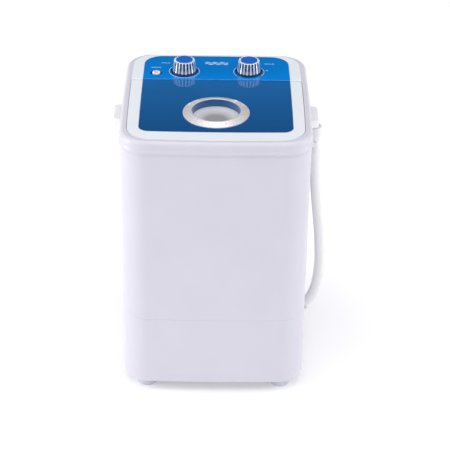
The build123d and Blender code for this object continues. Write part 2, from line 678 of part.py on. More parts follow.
# ---- Lid ----
# Frame: a skinned tray with a seat for the window and a barrel at each end of the hinge.
with BuildPart() as lid_frame:
    with BuildSketch(Plane.XY.offset(lid_bottom)):
        add(top_plan(LID_GAP))
        keep_front_of(hinge_y)
    extrude(amount=frame_top - lid_bottom)
    fillet(lid_frame.faces().sort_by(Axis.Z)[-1].edges().filter_by(Axis.X, reverse=True), BLUE_PROUD)
    with BuildSketch(Plane.XY.offset(lid_bottom)):
        add(top_plan(LID_GAP + LID_SKIRT))
        keep_front_of(hinge_y)
    extrude(amount=frame_top - LID_SKIN - lid_bottom, mode=Mode.SUBTRACT)
    with BuildSketch(Plane.XY.offset(panel_seat_bottom)):
        add(blue_plan(-SEAT_WALL))
        keep_front_of(hinge_y)
    extrude(amount=frame_top - LID_SKIN - panel_seat_bottom)
    with Locations((0, hinge_y, hinge_z)):
        Cylinder(frame_roll_radius, 2 * (top_side - LID_GAP - HINGE_END_GAP), rotation=(0, 90, 0))
    with BuildSketch(Plane.XY.offset(blue_bottom)):
        add(blue_plan(-TRIM_GAP))
        keep_front_of(hinge_y)
    extrude(amount=HEIGHT - blue_bottom, mode=Mode.SUBTRACT)
    with BuildSketch(Plane.XY.offset(lid_bottom)):
        add(blue_plan(SEAT_WIDTH))
        keep_front_of(hinge_y)
    extrude(amount=HEIGHT - lid_bottom, mode=Mode.SUBTRACT)
    with BuildSketch(Plane.XY.offset(lid_bottom)):
        add(blue_plan(-TRIM_GAP))
        keep_behind(hinge_y - HINGE_ROLL_RADIUS - TRIM_GAP)
    extrude(amount=HEIGHT - lid_bottom, mode=Mode.SUBTRACT)
    for side in (-1, 1):
        with Locations((side * (top_side + PIN_ENGAGEMENT - PIN_LENGTH / 2), hinge_y, hinge_z)):
            Cylinder(PIN_RADIUS, PIN_LENGTH, rotation=(0, 90, 0), mode=Mode.SUBTRACT)
lid_frame.part.label = "lid_frame"
export_step(lid_frame.part, "parts/lid_frame.step")

# Hinge pins: fixed in the lid, turning in the collar.
for name, side in (("hinge_pin_left", -1), ("hinge_pin_right", 1)):
    with BuildPart() as hinge_pin:
        with Locations((side * (top_side + PIN_ENGAGEMENT - PIN_LENGTH / 2), hinge_y, hinge_z)):
            Cylinder(PIN_RADIUS, PIN_LENGTH, rotation=(0, 90, 0))
    hinge_pin.part.label = name
    export_step(hinge_pin.part, f"parts/{name}.step")

# Window: a tinted plate with a rolled rear edge and the grip's well.
well_floor = HEIGHT - WELL_DEPTH
well_outer_radius = GRIP_INNER_RADIUS + WELL_WALL
grip_top = HEIGHT + GRIP_RISE
well_top = grip_top - GRIP_EDGE - TRIM_GAP
with BuildPart() as lid_window:
    with BuildSketch(Plane.XY.offset(blue_bottom)):
        add(blue_plan())
        keep_front_of(hinge_y)
    extrude(amount=BLUE_THICKNESS)
    fillet(lid_window.faces().sort_by(Axis.Z)[-1].edges().filter_by(Axis.X, reverse=True), BLUE_PROUD)
    with Locations((0, hinge_y, hinge_z)):
        Cylinder(HINGE_ROLL_RADIUS, 2 * (body_side - BLUE_SIDE - BLUE_SIDE_BOW), rotation=(0, 90, 0))
    with Locations((0, grip_y, blue_bottom)):
        Cylinder(well_outer_radius, blue_bottom - well_floor + WELL_FLOOR, align=FROM_TOP)
        Cylinder(well_outer_radius, well_top - blue_bottom, align=FROM_BOTTOM)
    with Locations((0, grip_y, well_floor)):
        Cylinder(GRIP_INNER_RADIUS, well_top - well_floor, align=FROM_BOTTOM, mode=Mode.SUBTRACT)
lid_window.part.label = "lid_window"
export_step(lid_window.part, "parts/lid_window.step")

# Grip ring: a low cone round the well, with a lip that covers the well's upper edge.
with BuildPart() as lid_grip_ring:
    with BuildSketch(Plane.XZ.offset(-grip_y)) as ring_section:
        with BuildLine():
            Polyline((well_outer_radius + TRIM_GAP, HEIGHT), (GRIP_OUTER_RADIUS, HEIGHT),
                     (GRIP_OUTER_RADIUS, HEIGHT + GRIP_EDGE), (GRIP_INNER_RADIUS + GRIP_CREST, grip_top),
                     (GRIP_INNER_RADIUS, grip_top), (GRIP_INNER_RADIUS, grip_top - GRIP_EDGE),
                     (well_outer_radius + TRIM_GAP, grip_top - GRIP_EDGE), close=True)
        make_face()
    revolve(axis=Axis((0, grip_y, 0), (0, 0, 1)))
    fillet(lid_grip_ring.edges().group_by(Axis.Z)[-1], GRIP_ROUND)
lid_grip_ring.part.label = "lid_grip_ring"
export_step(lid_grip_ring.part, "parts/lid_grip_ring.step")

# Grip dish: a shallow pan that lies in the well.
with BuildPart() as lid_grip_dish:
    with BuildSketch(Plane.XZ.offset(-grip_y)) as dish_section:
        with BuildLine():
            Polyline((0, well_floor), (GRIP_INNER_RADIUS - TRIM_GAP, well_floor),
                     (GRIP_INNER_RADIUS - TRIM_GAP, well_floor + DISH_RISE),
                     (GRIP_INNER_RADIUS - DISH_THICKNESS, well_floor + DISH_RISE),
                     (DISH_FLAT_RADIUS, well_floor + DISH_THICKNESS),
                     (0, well_floor + DISH_THICKNESS), close=True)
        make_face()
    revolve(axis=Axis((0, grip_y, 0), (0, 0, 1)))
lid_grip_dish.part.label = "lid_grip_dish"
export_step(lid_grip_dish.part, "parts/lid_grip_dish.step")

# ---- Control housing ----
# A box open below, with a recess for the blue panel.
with BuildPart() as control_housing:
    with BuildSketch(Plane.XY.offset(deck_top)):
        add(top_plan(HOUSING_GAP))
        keep_behind(control_front)
    extrude(amount=frame_top - deck_top)
    chamfer(control_housing.edges().filter_by(Axis.X).group_by(Axis.Z)[-1], HINGE_CHAMFER)
    with BuildSketch(Plane.XY.offset(deck_top)):
        add(top_plan(HOUSING_GAP + LID_SKIRT))
        keep_behind(control_front + LID_SKIRT)
    extrude(amount=panel_seat_bottom - deck_top, mode=Mode.SUBTRACT)
    with BuildSketch(Plane.XY.offset(blue_bottom)):
        add(blue_plan(-TRIM_GAP))
        keep_behind(control_front)
    extrude(amount=HEIGHT - blue_bottom, mode=Mode.SUBTRACT)
    with Locations((-KNOB_X, knob_y, HEIGHT), (KNOB_X, knob_y, HEIGHT)):
        Cylinder(KNOB_SHAFT_RADIUS + SHAFT_HOLE_GAP, DECK_DROP, align=FROM_TOP, mode=Mode.SUBTRACT)
    with Locations((inlet_x, inlet_y, HEIGHT)):
        Cylinder(NOZZLE_RADIUS, DECK_DROP, align=FROM_TOP, mode=Mode.SUBTRACT)
control_housing.part.label = "control_housing"
export_step(control_housing.part, "parts/control_housing.step")

with BuildPart() as control_panel:
    with BuildSketch(Plane.XY.offset(blue_bottom)):
        add(blue_plan())
        keep_behind(control_front)
    extrude(amount=BLUE_THICKNESS)
    chamfer(control_panel.faces().sort_by(Axis.Z)[-1].edges().sort_by(Axis.Y)[0], HINGE_CHAMFER)
    with Locations((-KNOB_X, knob_y, HEIGHT), (KNOB_X, knob_y, HEIGHT)):
        Cylinder(KNOB_SHAFT_RADIUS + SHAFT_HOLE_GAP, DECK_DROP, align=FROM_TOP, mode=Mode.SUBTRACT)
    with Locations((inlet_x, inlet_y, HEIGHT)):
        Cylinder(INLET_RECESS_RADIUS, DECK_DROP, align=FROM_TOP, mode=Mode.SUBTRACT)
control_panel.part.label = "control_panel"
export_step(control_panel.part, "parts/control_panel.step")

# Knobs: each is a fluted skirt on a flange, a cap and a shaft that reaches down into its switch.
knob_bottom = HEIGHT + KNOB_GAP
knob_top = knob_bottom + KNOB_HEIGHT
socket_top = knob_bottom + KNOB_SHAFT_SOCKET
neck_top = panel_seat_bottom
shaft_bottom = neck_top - SHAFT_DEPTH
flute_lean = atan2(KNOB_BASE_RADIUS - KNOB_TOP_RADIUS, KNOB_HEIGHT - KNOB_FLANGE)
flute_circle = KNOB_BASE_RADIUS - FLUTE_DEPTH + FLUTE_RADIUS
for name, x in (("timer", -KNOB_X), ("selector", KNOB_X)):
    with BuildPart() as knob:
        with BuildSketch(Plane.XZ.offset(-knob_y)) as knob_section:
            with BuildLine():
                Polyline((x, knob_bottom), (x + KNOB_FLANGE_RADIUS, knob_bottom),
                         (x + KNOB_FLANGE_RADIUS, knob_bottom + KNOB_FLANGE),
                         (x + KNOB_BASE_RADIUS, knob_bottom + KNOB_FLANGE),
                         (x + KNOB_TOP_RADIUS, knob_top), (x + CAP_RADIUS, knob_top),
                         (x + CAP_RADIUS, knob_top - CAP_RECESS), (x, knob_top - CAP_RECESS), close=True)
            make_face()
        revolve(axis=Axis((x, knob_y, 0), (0, 0, 1)))
        flutes = [
            Plane(origin=(x + flute_circle * cos(radians(angle)), knob_y + flute_circle * sin(radians(angle)),
                          knob_bottom + KNOB_FLANGE),
                  z_dir=(-sin(flute_lean) * cos(radians(angle)), -sin(flute_lean) * sin(radians(angle)),
                         cos(flute_lean))).location
            for angle in range(0, 360, 360 // FLUTES)
        ]
        with Locations(*flutes):
            Cylinder(FLUTE_RADIUS, KNOB_HEIGHT + THROUGH, align=FROM_BOTTOM, mode=Mode.SUBTRACT)
        with Locations((x, knob_y, socket_top)):
            Cylinder(KNOB_SHAFT_RADIUS, KNOB_SHAFT_SOCKET, align=FROM_TOP, mode=Mode.SUBTRACT)
    knob.part.label = f"{name}_knob"
    export_step(knob.part, f"parts/{name}_knob.step")

    with BuildPart() as knob_cap:
        with Locations((x, knob_y, knob_top - CAP_RECESS)):
            Cylinder(CAP_RADIUS, CAP_HEIGHT, align=FROM_BOTTOM)
        fillet(knob_cap.edges().group_by(Axis.Z)[-1], CAP_ROUND)
    knob_cap.part.label = f"{name}_knob_cap"
    export_step(knob_cap.part, f"parts/{name}_knob_cap.step")

    with BuildPart() as knob_shaft:
        with Locations((x, knob_y, socket_top)):
            Cylinder(KNOB_SHAFT_RADIUS, socket_top - shaft_bottom, align=FROM_TOP)
    knob_shaft.part.label = f"{name}_shaft"
    export_step(knob_shaft.part, f"parts/{name}_shaft.step")

switch_sizes = {
    "wash_timer": (-KNOB_X, TIMER_SIZE, TIMER_SIZE, TIMER_HEIGHT),
    "selector_switch": (KNOB_X, SWITCH_WIDTH, SWITCH_DEPTH, SWITCH_HEIGHT),
}
for name, (x, width, depth, height) in switch_sizes.items():
    with BuildPart() as switch_body:
        with Locations((x, knob_y, neck_top - NECK_HEIGHT)):
            Box(width, depth, height, align=FROM_TOP)
            Cylinder(NECK_RADIUS, NECK_HEIGHT, align=FROM_BOTTOM)
        with Locations((x, knob_y, neck_top)):
            Cylinder(KNOB_SHAFT_RADIUS + RUN_CLEARANCE, SHAFT_DEPTH + SHAFT_END_GAP, align=FROM_TOP,
                     mode=Mode.SUBTRACT)
    switch_body.part.label = name
    export_step(switch_body.part, f"parts/{name}.step")

# ---- Water inlet ----
# The nozzle stands through the housing, and its duct runs down and across to the tub.
nozzle_bottom = HEIGHT - NOZZLE_DROP
duct_level = HEIGHT - DUCT_DROP
tub_reach = hypot(inlet_x, inlet_y - tub_y)
duct_end_x = inlet_x * tub_radius / tub_reach
duct_end_y = tub_y + (inlet_y - tub_y) * tub_radius / tub_reach
with BuildPart() as water_inlet_nozzle:
    with Locations((inlet_x, inlet_y, nozzle_bottom)):
        Cylinder(NOZZLE_RADIUS, HEIGHT + NOZZLE_RISE - nozzle_bottom, align=FROM_BOTTOM)
    with Locations((inlet_x, inlet_y, panel_seat_bottom)):
        Cylinder(NOZZLE_FLANGE_RADIUS, NOZZLE_FLANGE, align=FROM_TOP)
    fillet(water_inlet_nozzle.edges().group_by(Axis.Z)[-1], NOZZLE_ROUND)
    with Locations((inlet_x, inlet_y, nozzle_bottom)):
        Cylinder(NOZZLE_BORE, 2 * NOZZLE_DROP, align=FROM_BOTTOM, mode=Mode.SUBTRACT)
water_inlet_nozzle.part.label = "water_inlet_nozzle"
export_step(water_inlet_nozzle.part, "parts/water_inlet_nozzle.step")

with BuildPart() as inlet_duct:
    with BuildLine() as duct_route:
        FilletPolyline((inlet_x, inlet_y, nozzle_bottom), (inlet_x, inlet_y, duct_level),
                       (duct_end_x, duct_end_y, duct_level), radius=DUCT_BEND)
    with BuildSketch(Plane.XY.offset(nozzle_bottom)):
        with Locations((inlet_x, inlet_y)):
            Circle(DUCT_RADIUS)
            Circle(DUCT_BORE, mode=Mode.SUBTRACT)
    sweep(path=duct_route.line)
    with Locations((0, tub_y, duct_level)):
        Cylinder(tub_radius, 2 * DUCT_RADIUS + THROUGH, mode=Mode.SUBTRACT)
inlet_duct.part.label = "inlet_duct"
export_step(inlet_duct.part, "parts/inlet_duct.step")

# ---- Wash tub ----
with BuildPart() as wash_tub:
    with Locations((0, tub_y, TUB_FLOOR_Z)):
        Cylinder(TUB_OUTER_RADIUS, deck_bottom - TUB_FLOOR_Z, align=FROM_BOTTOM)
    with Locations((0, tub_y, deck_bottom)):
        Cylinder(TUB_OUTER_RADIUS + TUB_FLANGE, TUB_FLANGE_THICKNESS, align=FROM_TOP)
        Cylinder(tub_radius, deck_bottom - tub_floor_top, align=FROM_TOP, mode=Mode.SUBTRACT)
    with Locations((0, tub_y, TUB_FLOOR_Z)):
        Cylinder(HOUSING_RADIUS, TUB_FLOOR, align=FROM_BOTTOM, mode=Mode.SUBTRACT)
    with Locations((DRAIN_X, drain_y, TUB_FLOOR_Z)):
        Cylinder(HOSE_BORE, TUB_FLOOR, align=FROM_BOTTOM, mode=Mode.SUBTRACT)
    duct_plane = Plane(origin=(duct_end_x, duct_end_y, duct_level), z_dir=(duct_end_x, duct_end_y - tub_y, 0))
    with Locations(duct_plane.location):
        Cylinder(DUCT_RADIUS, THROUGH, mode=Mode.SUBTRACT)
    cut_screw_holes(tub_screws)
    cut_screw_holes(housing_screws)
wash_tub.part.label = "wash_tub"
export_step(wash_tub.part, "parts/wash_tub.step")

# Lint filter: a curved cassette on the tub's wall.
with BuildPart() as lint_filter:
    with BuildSketch(Plane.XY.offset(LINT_Z - LINT_HEIGHT / 2)):
        with Locations((0, tub_y)):
            Circle(tub_radius)
            Circle(tub_radius - LINT_THICKNESS, mode=Mode.SUBTRACT)
        with Locations(Pos(0, tub_y, 0) * Rot(0, 0, LINT_ANGLE)):
            Polygon((0, 0), (2 * tub_radius, -2 * tub_radius * tan(radians(LINT_SPAN / 2))),
                    (2 * tub_radius, 2 * tub_radius * tan(radians(LINT_SPAN / 2))), align=None,
                    mode=Mode.INTERSECT)
    extrude(amount=LINT_HEIGHT)
lint_filter.part.label = "lint_filter"
export_step(lint_filter.part, "parts/lint_filter.step")

# Spin basket: a perforated drum that stands on the pulsator's hub.
with BuildPart() as spin_basket:
    with Locations((0, tub_y, basket_bottom)):
        Cylinder(basket_radius, BASKET_HEIGHT, align=FROM_BOTTOM)
    with Locations((0, tub_y, basket_bottom + BASKET_HEIGHT)):
        Cylinder(basket_radius + BASKET_LIP, BASKET_LIP, align=FROM_TOP)
        fillet(spin_basket.edges().group_by(Axis.Z)[-1], BASKET_LIP_ROUND)
        Cylinder(basket_radius - BASKET_WALL, BASKET_HEIGHT - BASKET_FLOOR, align=FROM_TOP,
                 mode=Mode.SUBTRACT)
    row_pitch = BASKET_HEIGHT / (BASKET_ROWS + 1)
    for row in range(1, BASKET_ROWS + 1):
        with Locations((0, tub_y, basket_bottom + row * row_pitch)):
            with PolarLocations(basket_radius, BASKET_HOLES, start_angle=180 / BASKET_HOLES * (row % 2)):
                Cylinder(BASKET_HOLE_RADIUS, THROUGH, rotation=(0, 90, 0), mode=Mode.SUBTRACT)
    with Locations((0, tub_y, basket_bottom)):
        for circle in FLOOR_HOLE_CIRCLES:
            with PolarLocations(circle, BASKET_HOLES):
                Cylinder(BASKET_HOLE_RADIUS, BASKET_FLOOR, align=FROM_BOTTOM, mode=Mode.SUBTRACT)
    with Locations((0, tub_y, basket_bottom)):
        Cylinder(HUB_RADIUS + HUB_GAP + 2 * BASKET_WALL, HUB_NECK, align=FROM_TOP)
        Cylinder(HUB_RADIUS + HUB_GAP, HUB_NECK, align=FROM_TOP, mode=Mode.SUBTRACT)
spin_basket.part.label = "spin_basket"
export_step(spin_basket.part, "parts/spin_basket.step")

# Pulsator: a ribbed disc with a hub, screwed to the top of the drive shaft.
with BuildPart() as pulsator:
    with Locations((0, tub_y, pulsator_bottom)):
        Cylinder(PULSATOR_RADIUS, PULSATOR_DISC, align=FROM_BOTTOM)
        with PolarLocations(PULSATOR_RADIUS / 2, PULSATOR_RIBS):
            with Locations((0, 0, PULSATOR_DISC / 2)):
                Box(RIB_LENGTH, RIB_WIDTH, RIB_HEIGHT, align=FROM_BOTTOM)
        Cylinder(HUB_RADIUS, HUB_HEIGHT, align=FROM_BOTTOM)
    with Locations((0, tub_y, pulsator_bottom)):
        Cylinder(SHAFT_RADIUS, shaft_top - pulsator_bottom, align=FROM_BOTTOM, mode=Mode.SUBTRACT)
    with Locations((0, tub_y, hub_top)):
        Cylinder(BOLT_RADIUS, hub_top - shaft_top, align=FROM_TOP, mode=Mode.SUBTRACT)
        Cylinder(BOLT_HEAD_RADIUS, BOLT_HEAD, align=FROM_TOP, mode=Mode.SUBTRACT)
pulsator.part.label = "pulsator"
export_step(pulsator.part, "parts/pulsator.step")

with BuildPart() as pulsator_screw:
    with Locations((0, tub_y, hub_top)):
        Cylinder(BOLT_HEAD_RADIUS, BOLT_HEAD, align=FROM_TOP)
        Cylinder(BOLT_RADIUS, BOLT_HEAD + BOLT_LENGTH, align=FROM_TOP)
pulsator_screw.part.label = "pulsator_screw"
export_step(pulsator_screw.part, "parts/pulsator_screw.step")

# ---- Drive ----
nut_bottom = pulley_bottom - NUT_HEIGHT
screw_socket = BOLT_HEAD + BOLT_LENGTH - (hub_top - shaft_top)
with BuildPart() as drive_shaft:
    with Locations((0, tub_y, shaft_top)):
        Cylinder(SHAFT_RADIUS, shaft_top - nut_bottom, align=FROM_TOP)
        Cylinder(BOLT_RADIUS, screw_socket, align=FROM_TOP, mode=Mode.SUBTRACT)
drive_shaft.part.label = "drive_shaft"
export_step(drive_shaft.part, "parts/drive_shaft.step")

bearing_lower = housing_bottom + WALL
bearing_upper = bearing_lower + BEARING_WIDTH + BEARING_SPACING
seal_bottom = tub_floor_top - SEAL_WIDTH
with BuildPart() as bearing_housing:
    with Locations((0, tub_y, housing_bottom)):
        Cylinder(HOUSING_RADIUS, tub_floor_top - housing_bottom, align=FROM_BOTTOM)
        Cylinder(BEARING_RADIUS - WALL, tub_floor_top - housing_bottom, align=FROM_BOTTOM,
                 mode=Mode.SUBTRACT)
    with Locations((0, tub_y, TUB_FLOOR_Z)):
        Cylinder(HOUSING_FLANGE_RADIUS, HOUSING_FLANGE, align=FROM_TOP)
        Cylinder(BEARING_RADIUS - WALL, HOUSING_FLANGE, align=FROM_TOP, mode=Mode.SUBTRACT)
    for bottom, width in ((bearing_lower, BEARING_WIDTH), (bearing_upper, BEARING_WIDTH),
                          (seal_bottom, SEAL_WIDTH)):
        with Locations((0, tub_y, bottom)):
            Cylinder(BEARING_RADIUS, width, align=FROM_BOTTOM, mode=Mode.SUBTRACT)
    cut_screw_holes(housing_screws)
bearing_housing.part.label = "bearing_housing"
export_step(bearing_housing.part, "parts/bearing_housing.step")

rings = (("lower_bearing", bearing_lower, BEARING_WIDTH), ("upper_bearing", bearing_upper, BEARING_WIDTH),
         ("water_seal", seal_bottom, SEAL_WIDTH))
for name, bottom, width in rings:
    with BuildPart() as ring:
        with Locations((0, tub_y, bottom)):
            Cylinder(BEARING_RADIUS, width, align=FROM_BOTTOM)
            Cylinder(SHAFT_RADIUS + RUN_CLEARANCE, width, align=FROM_BOTTOM, mode=Mode.SUBTRACT)
    ring.part.label = name
    export_step(ring.part, f"parts/{name}.step")

# Pulleys: a grooved rim, a thin web and a hub on the shaft.
belt_half = BELT_THICKNESS / 2
pulley_sizes = {
    "drive_pulley": (tub_y, PULLEY_PITCH_RADIUS, SHAFT_RADIUS),
    "motor_pulley": (motor_y, MOTOR_PITCH_RADIUS, MOTOR_SHAFT_RADIUS),
}
for name, (y, pitch_radius, bore) in pulley_sizes.items():
    rim_radius = pitch_radius + belt_half + BELT_GAP
    groove_radius = pitch_radius - belt_half - BELT_GAP
    groove_half = BELT_WIDTH / 2 + BELT_GAP
    with BuildPart() as pulley:
        with BuildSketch(Plane.XZ.offset(-y)) as pulley_section:
            with BuildLine():
                Polyline((0, pulley_bottom), (rim_radius, pulley_bottom),
                         (rim_radius, belt_z - groove_half - GROOVE_FLARE),
                         (groove_radius, belt_z - groove_half), (groove_radius, belt_z + groove_half),
                         (rim_radius, belt_z + groove_half + GROOVE_FLARE), (rim_radius, pulley_top),
                         (0, pulley_top), close=True)
            make_face()
        revolve(axis=Axis((0, y, 0), (0, 0, 1)))
        if groove_radius - PULLEY_RIM > PULLEY_HUB_RADIUS:
            for bottom in (pulley_bottom, belt_z + PULLEY_WEB / 2):
                with BuildSketch(Plane.XY.offset(bottom)):
                    with Locations((0, y)):
                        Circle(groove_radius - PULLEY_RIM)
                        Circle(PULLEY_HUB_RADIUS, mode=Mode.SUBTRACT)
                extrude(amount=(PULLEY_WIDTH - PULLEY_WEB) / 2, mode=Mode.SUBTRACT)
        with Locations((0, y, pulley_bottom)):
            Cylinder(bore, PULLEY_WIDTH, align=FROM_BOTTOM, mode=Mode.SUBTRACT)
    pulley.part.label = name
    export_step(pulley.part, f"parts/{name}.step")

with BuildPart() as pulley_nut:
    with BuildSketch(Plane.XY.offset(nut_bottom)):
        with Locations((0, tub_y)):
            RegularPolygon(NUT_RADIUS, 6)
            Circle(SHAFT_RADIUS, mode=Mode.SUBTRACT)
    extrude(amount=NUT_HEIGHT)
pulley_nut.part.label = "pulley_nut"
export_step(pulley_nut.part, "parts/pulley_nut.step")


def belt_outline(offset_radius):
    """The stretch of belt round both pulleys, offset from the pitch line."""
    with BuildSketch(mode=Mode.PRIVATE) as outline:
        with Locations((0, tub_y)):
            Circle(PULLEY_PITCH_RADIUS + offset_radius)
        with Locations((0, motor_y)):
            Circle(MOTOR_PITCH_RADIUS + offset_radius)
        make_hull()
    return outline.sketch


with BuildPart() as drive_belt:
    with BuildSketch(Plane.XY.offset(belt_z - BELT_WIDTH / 2)):
        add(belt_outline(belt_half))
        add(belt_outline(-belt_half), mode=Mode.SUBTRACT)
    extrude(amount=BELT_WIDTH)
drive_belt.part.label = "drive_belt"
export_step(drive_belt.part, "parts/drive_belt.step")

# ---- Motor ----
with BuildPart() as motor:
    with Locations((0, motor_y, motor_bottom)):
        Cylinder(MOTOR_END_RADIUS, MOTOR_HEIGHT - MOTOR_BOSS_HEIGHT, align=FROM_BOTTOM)
        Cylinder(MOTOR_BOSS_RADIUS, MOTOR_HEIGHT, align=FROM_BOTTOM)
    with Locations((0, motor_y, motor_bottom + MOTOR_END_HEIGHT)):
        Cylinder(MOTOR_RADIUS, MOTOR_HEIGHT - 2 * MOTOR_END_HEIGHT - MOTOR_BOSS_HEIGHT, align=FROM_BOTTOM)
    with Locations((0, motor_y, motor_top)):
        Cylinder(MOTOR_SHAFT_RADIUS + RUN_CLEARANCE, MOTOR_SHAFT_DEPTH + SHAFT_END_GAP, align=FROM_TOP,
                 mode=Mode.SUBTRACT)
motor.part.label = "motor"
export_step(motor.part, "parts/motor.step")

with BuildPart() as motor_shaft:
    with Locations((0, motor_y, pulley_top)):
        Cylinder(MOTOR_SHAFT_RADIUS, pulley_top - motor_top + MOTOR_SHAFT_DEPTH, align=FROM_TOP)
motor_shaft.part.label = "motor_shaft"
export_step(motor_shaft.part, "parts/motor_shaft.step")

with BuildPart() as motor_plate:
    with BuildSketch(Plane.XY.offset(plate_bottom)):
        with Locations((0, motor_y)):
            RectangleRounded(MOTOR_PLATE_SIZE, MOTOR_PLATE_SIZE, MOTOR_PLATE_CORNER)
            with GridLocations(MOTOR_BOLT_PITCH, MOTOR_BOLT_PITCH, 2, 2):
                Circle(BOLT_RADIUS, mode=Mode.SUBTRACT)
    extrude(amount=MOTOR_PLATE)
motor_plate.part.label = "motor_plate"
export_step(motor_plate.part, "parts/motor_plate.step")

with BuildPart() as motor_grommets:
    with Locations(*[(x, y, grommet_bottom) for x, y in motor_bolt_places]):
        Cylinder(GROMMET_RADIUS, GROMMET_HEIGHT, align=FROM_BOTTOM)
        Cylinder(BOLT_RADIUS, GROMMET_HEIGHT, align=FROM_BOTTOM, mode=Mode.SUBTRACT)
motor_grommets.part.label = "motor_grommets"
export_step(motor_grommets.part, "parts/motor_grommets.step")

with BuildPart() as motor_bolts:
    with Locations(*[(x, y, motor_bottom) for x, y in motor_bolt_places]):
        Cylinder(BOLT_RADIUS, BOLT_LENGTH, align=FROM_TOP)
        Cylinder(BOLT_HEAD_RADIUS, BOLT_HEAD, align=FROM_BOTTOM)
motor_bolts.part.label = "motor_bolts"
export_step(motor_bolts.part, "parts/motor_bolts.step")

with BuildPart() as capacitor:
    with Locations((*CAPACITOR_PLACE, floor_top)):
        Cylinder(CAPACITOR_RADIUS, CAPACITOR_HEIGHT, align=FROM_BOTTOM)
    fillet(capacitor.edges().group_by(Axis.Z)[-1], CAPACITOR_ROUND)
capacitor.part.label = "capacitor"
export_step(capacitor.part, "parts/capacitor.step")

# ---- Carry handles ----
for name, side in (("carry_handle_left", -1), ("carry_handle_right", 1)):
    wide = HANDLE_LENGTH / 2
    narrow = wide - HANDLE_TAPER
    outer = side * (body_side + HANDLE_REACH)
    inner = side * (body_side - WALL)
    with BuildPart() as handle:
        with BuildSketch(Plane.XY.offset(handle_top - HANDLE_HEIGHT)) as handle_plan:
            with BuildLine():
                Polyline((inner, HANDLE_Y - wide), (outer, HANDLE_Y - narrow), (outer, HANDLE_Y + narrow),
                         (inner, HANDLE_Y + wide), close=True)
            make_face()
            fillet(handle_plan.vertices().group_by(Axis.X)[-1 if side > 0 else 0], HANDLE_ROUND)
        extrude(amount=HANDLE_HEIGHT)
        fillet(handle.faces().sort_by(Axis.Z)[-1].edges(), HANDLE_EDGE_ROUND)
        with Locations((side * (body_side + (HANDLE_REACH - HANDLE_SKIN) / 2), HANDLE_Y,
                        handle_top - HANDLE_SKIN)):
            Box(HANDLE_REACH - 2 * HANDLE_SKIN, HANDLE_LENGTH - 2 * HANDLE_TAPER - 2 * HANDLE_END,
                HANDLE_HEIGHT, align=FROM_TOP, mode=Mode.SUBTRACT)
        add(body_core.part, mode=Mode.SUBTRACT)
        cut_screw_holes(handle_screws)
    handle.part.label = name
    export_step(handle.part, f"parts/{name}.step")

# ---- Drain ----
# The strainer in the tub's floor, the duct under it, and the elbow through the side wall.
with BuildPart() as drain_strainer:
    with Locations((DRAIN_X, drain_y, tub_floor_top)):
        Cylinder(STRAINER_RADIUS, STRAINER_HEIGHT, align=FROM_BOTTOM)
        with PolarLocations(STRAINER_RADIUS / 2, STRAINER_HOLES):
            Cylinder(STRAINER_HOLE_RADIUS, STRAINER_HEIGHT, align=FROM_BOTTOM, mode=Mode.SUBTRACT)
drain_strainer.part.label = "drain_strainer"
export_step(drain_strainer.part, "parts/drain_strainer.step")

duct_end = body_side - WALL - ELBOW_INSIDE
with BuildPart() as drain_duct:
    with BuildLine() as drain_route:
        FilletPolyline((DRAIN_X, drain_y, TUB_FLOOR_Z), (DRAIN_X, drain_y, elbow_z),
                       (duct_end, drain_y, elbow_z), radius=DRAIN_BEND)
    with BuildSketch(Plane.XY.offset(TUB_FLOOR_Z)):
        with Locations((DRAIN_X, drain_y)):
            Circle(HOSE_RADIUS)
            Circle(HOSE_BORE, mode=Mode.SUBTRACT)
    sweep(path=drain_route.line)
drain_duct.part.label = "drain_duct"
export_step(drain_duct.part, "parts/drain_duct.step")

with BuildPart() as drain_elbow:
    with BuildLine() as elbow_route:
        Line((duct_end, drain_y, elbow_z), (elbow_x, drain_y, elbow_z))
        TangentArc((elbow_x, drain_y, elbow_z), HOSE_POINTS[0], tangent=(1, 0, 0))
    with BuildSketch(Plane(origin=(duct_end, drain_y, elbow_z), z_dir=(1, 0, 0))):
        Circle(HOSE_RADIUS)
        Circle(HOSE_BORE, mode=Mode.SUBTRACT)
    sweep(path=elbow_route.line)
    with BuildSketch(Plane(origin=(body_side - WALL - ELBOW_FLANGE, drain_y, elbow_z), z_dir=(1, 0, 0))):
        Circle(ELBOW_FLANGE_RADIUS)
        Circle(HOSE_RADIUS, mode=Mode.SUBTRACT)
    extrude(amount=ELBOW_FLANGE - SEAT_RELIEF)
drain_elbow.part.label = "drain_elbow"
export_step(drain_elbow.part, "parts/drain_elbow.step")

# Drain hose: straight runs joined by arcs as large as the runs allow.
hose_corners = [Vector(*point) for point in HOSE_POINTS]
hose_radii = []
for before, corner, after in zip(hose_corners, hose_corners[1:], hose_corners[2:]):
    arriving = corner - before
    leaving = after - corner
    turn = radians(arriving.get_angle(leaving))
    hose_radii.append(CORNER_SHARE * min(arriving.length, leaving.length) / tan(turn / 2))
hose_start = hose_corners[1] - hose_corners[0]
with BuildPart() as drain_hose:
    with BuildLine() as hose_route:
        FilletPolyline(*HOSE_POINTS, radius=hose_radii)
    with BuildSketch(Plane(origin=HOSE_POINTS[0], z_dir=hose_start)):
        Circle(HOSE_RADIUS)
        Circle(HOSE_BORE, mode=Mode.SUBTRACT)
    sweep(path=hose_route.line)
drain_hose.part.label = "drain_hose"
export_step(drain_hose.part, "parts/drain_hose.step")
hose_length = sum(edge.length for edge in hose_route.edges())
hose_section = pi * (HOSE_RADIUS**2 - HOSE_BORE**2)
print("hose radii", [round(radius) for radius in hose_radii], "length", round(hose_length, 1))
print("hose volume", round(drain_hose.part.volume), "section x length", round(hose_section * hose_length))

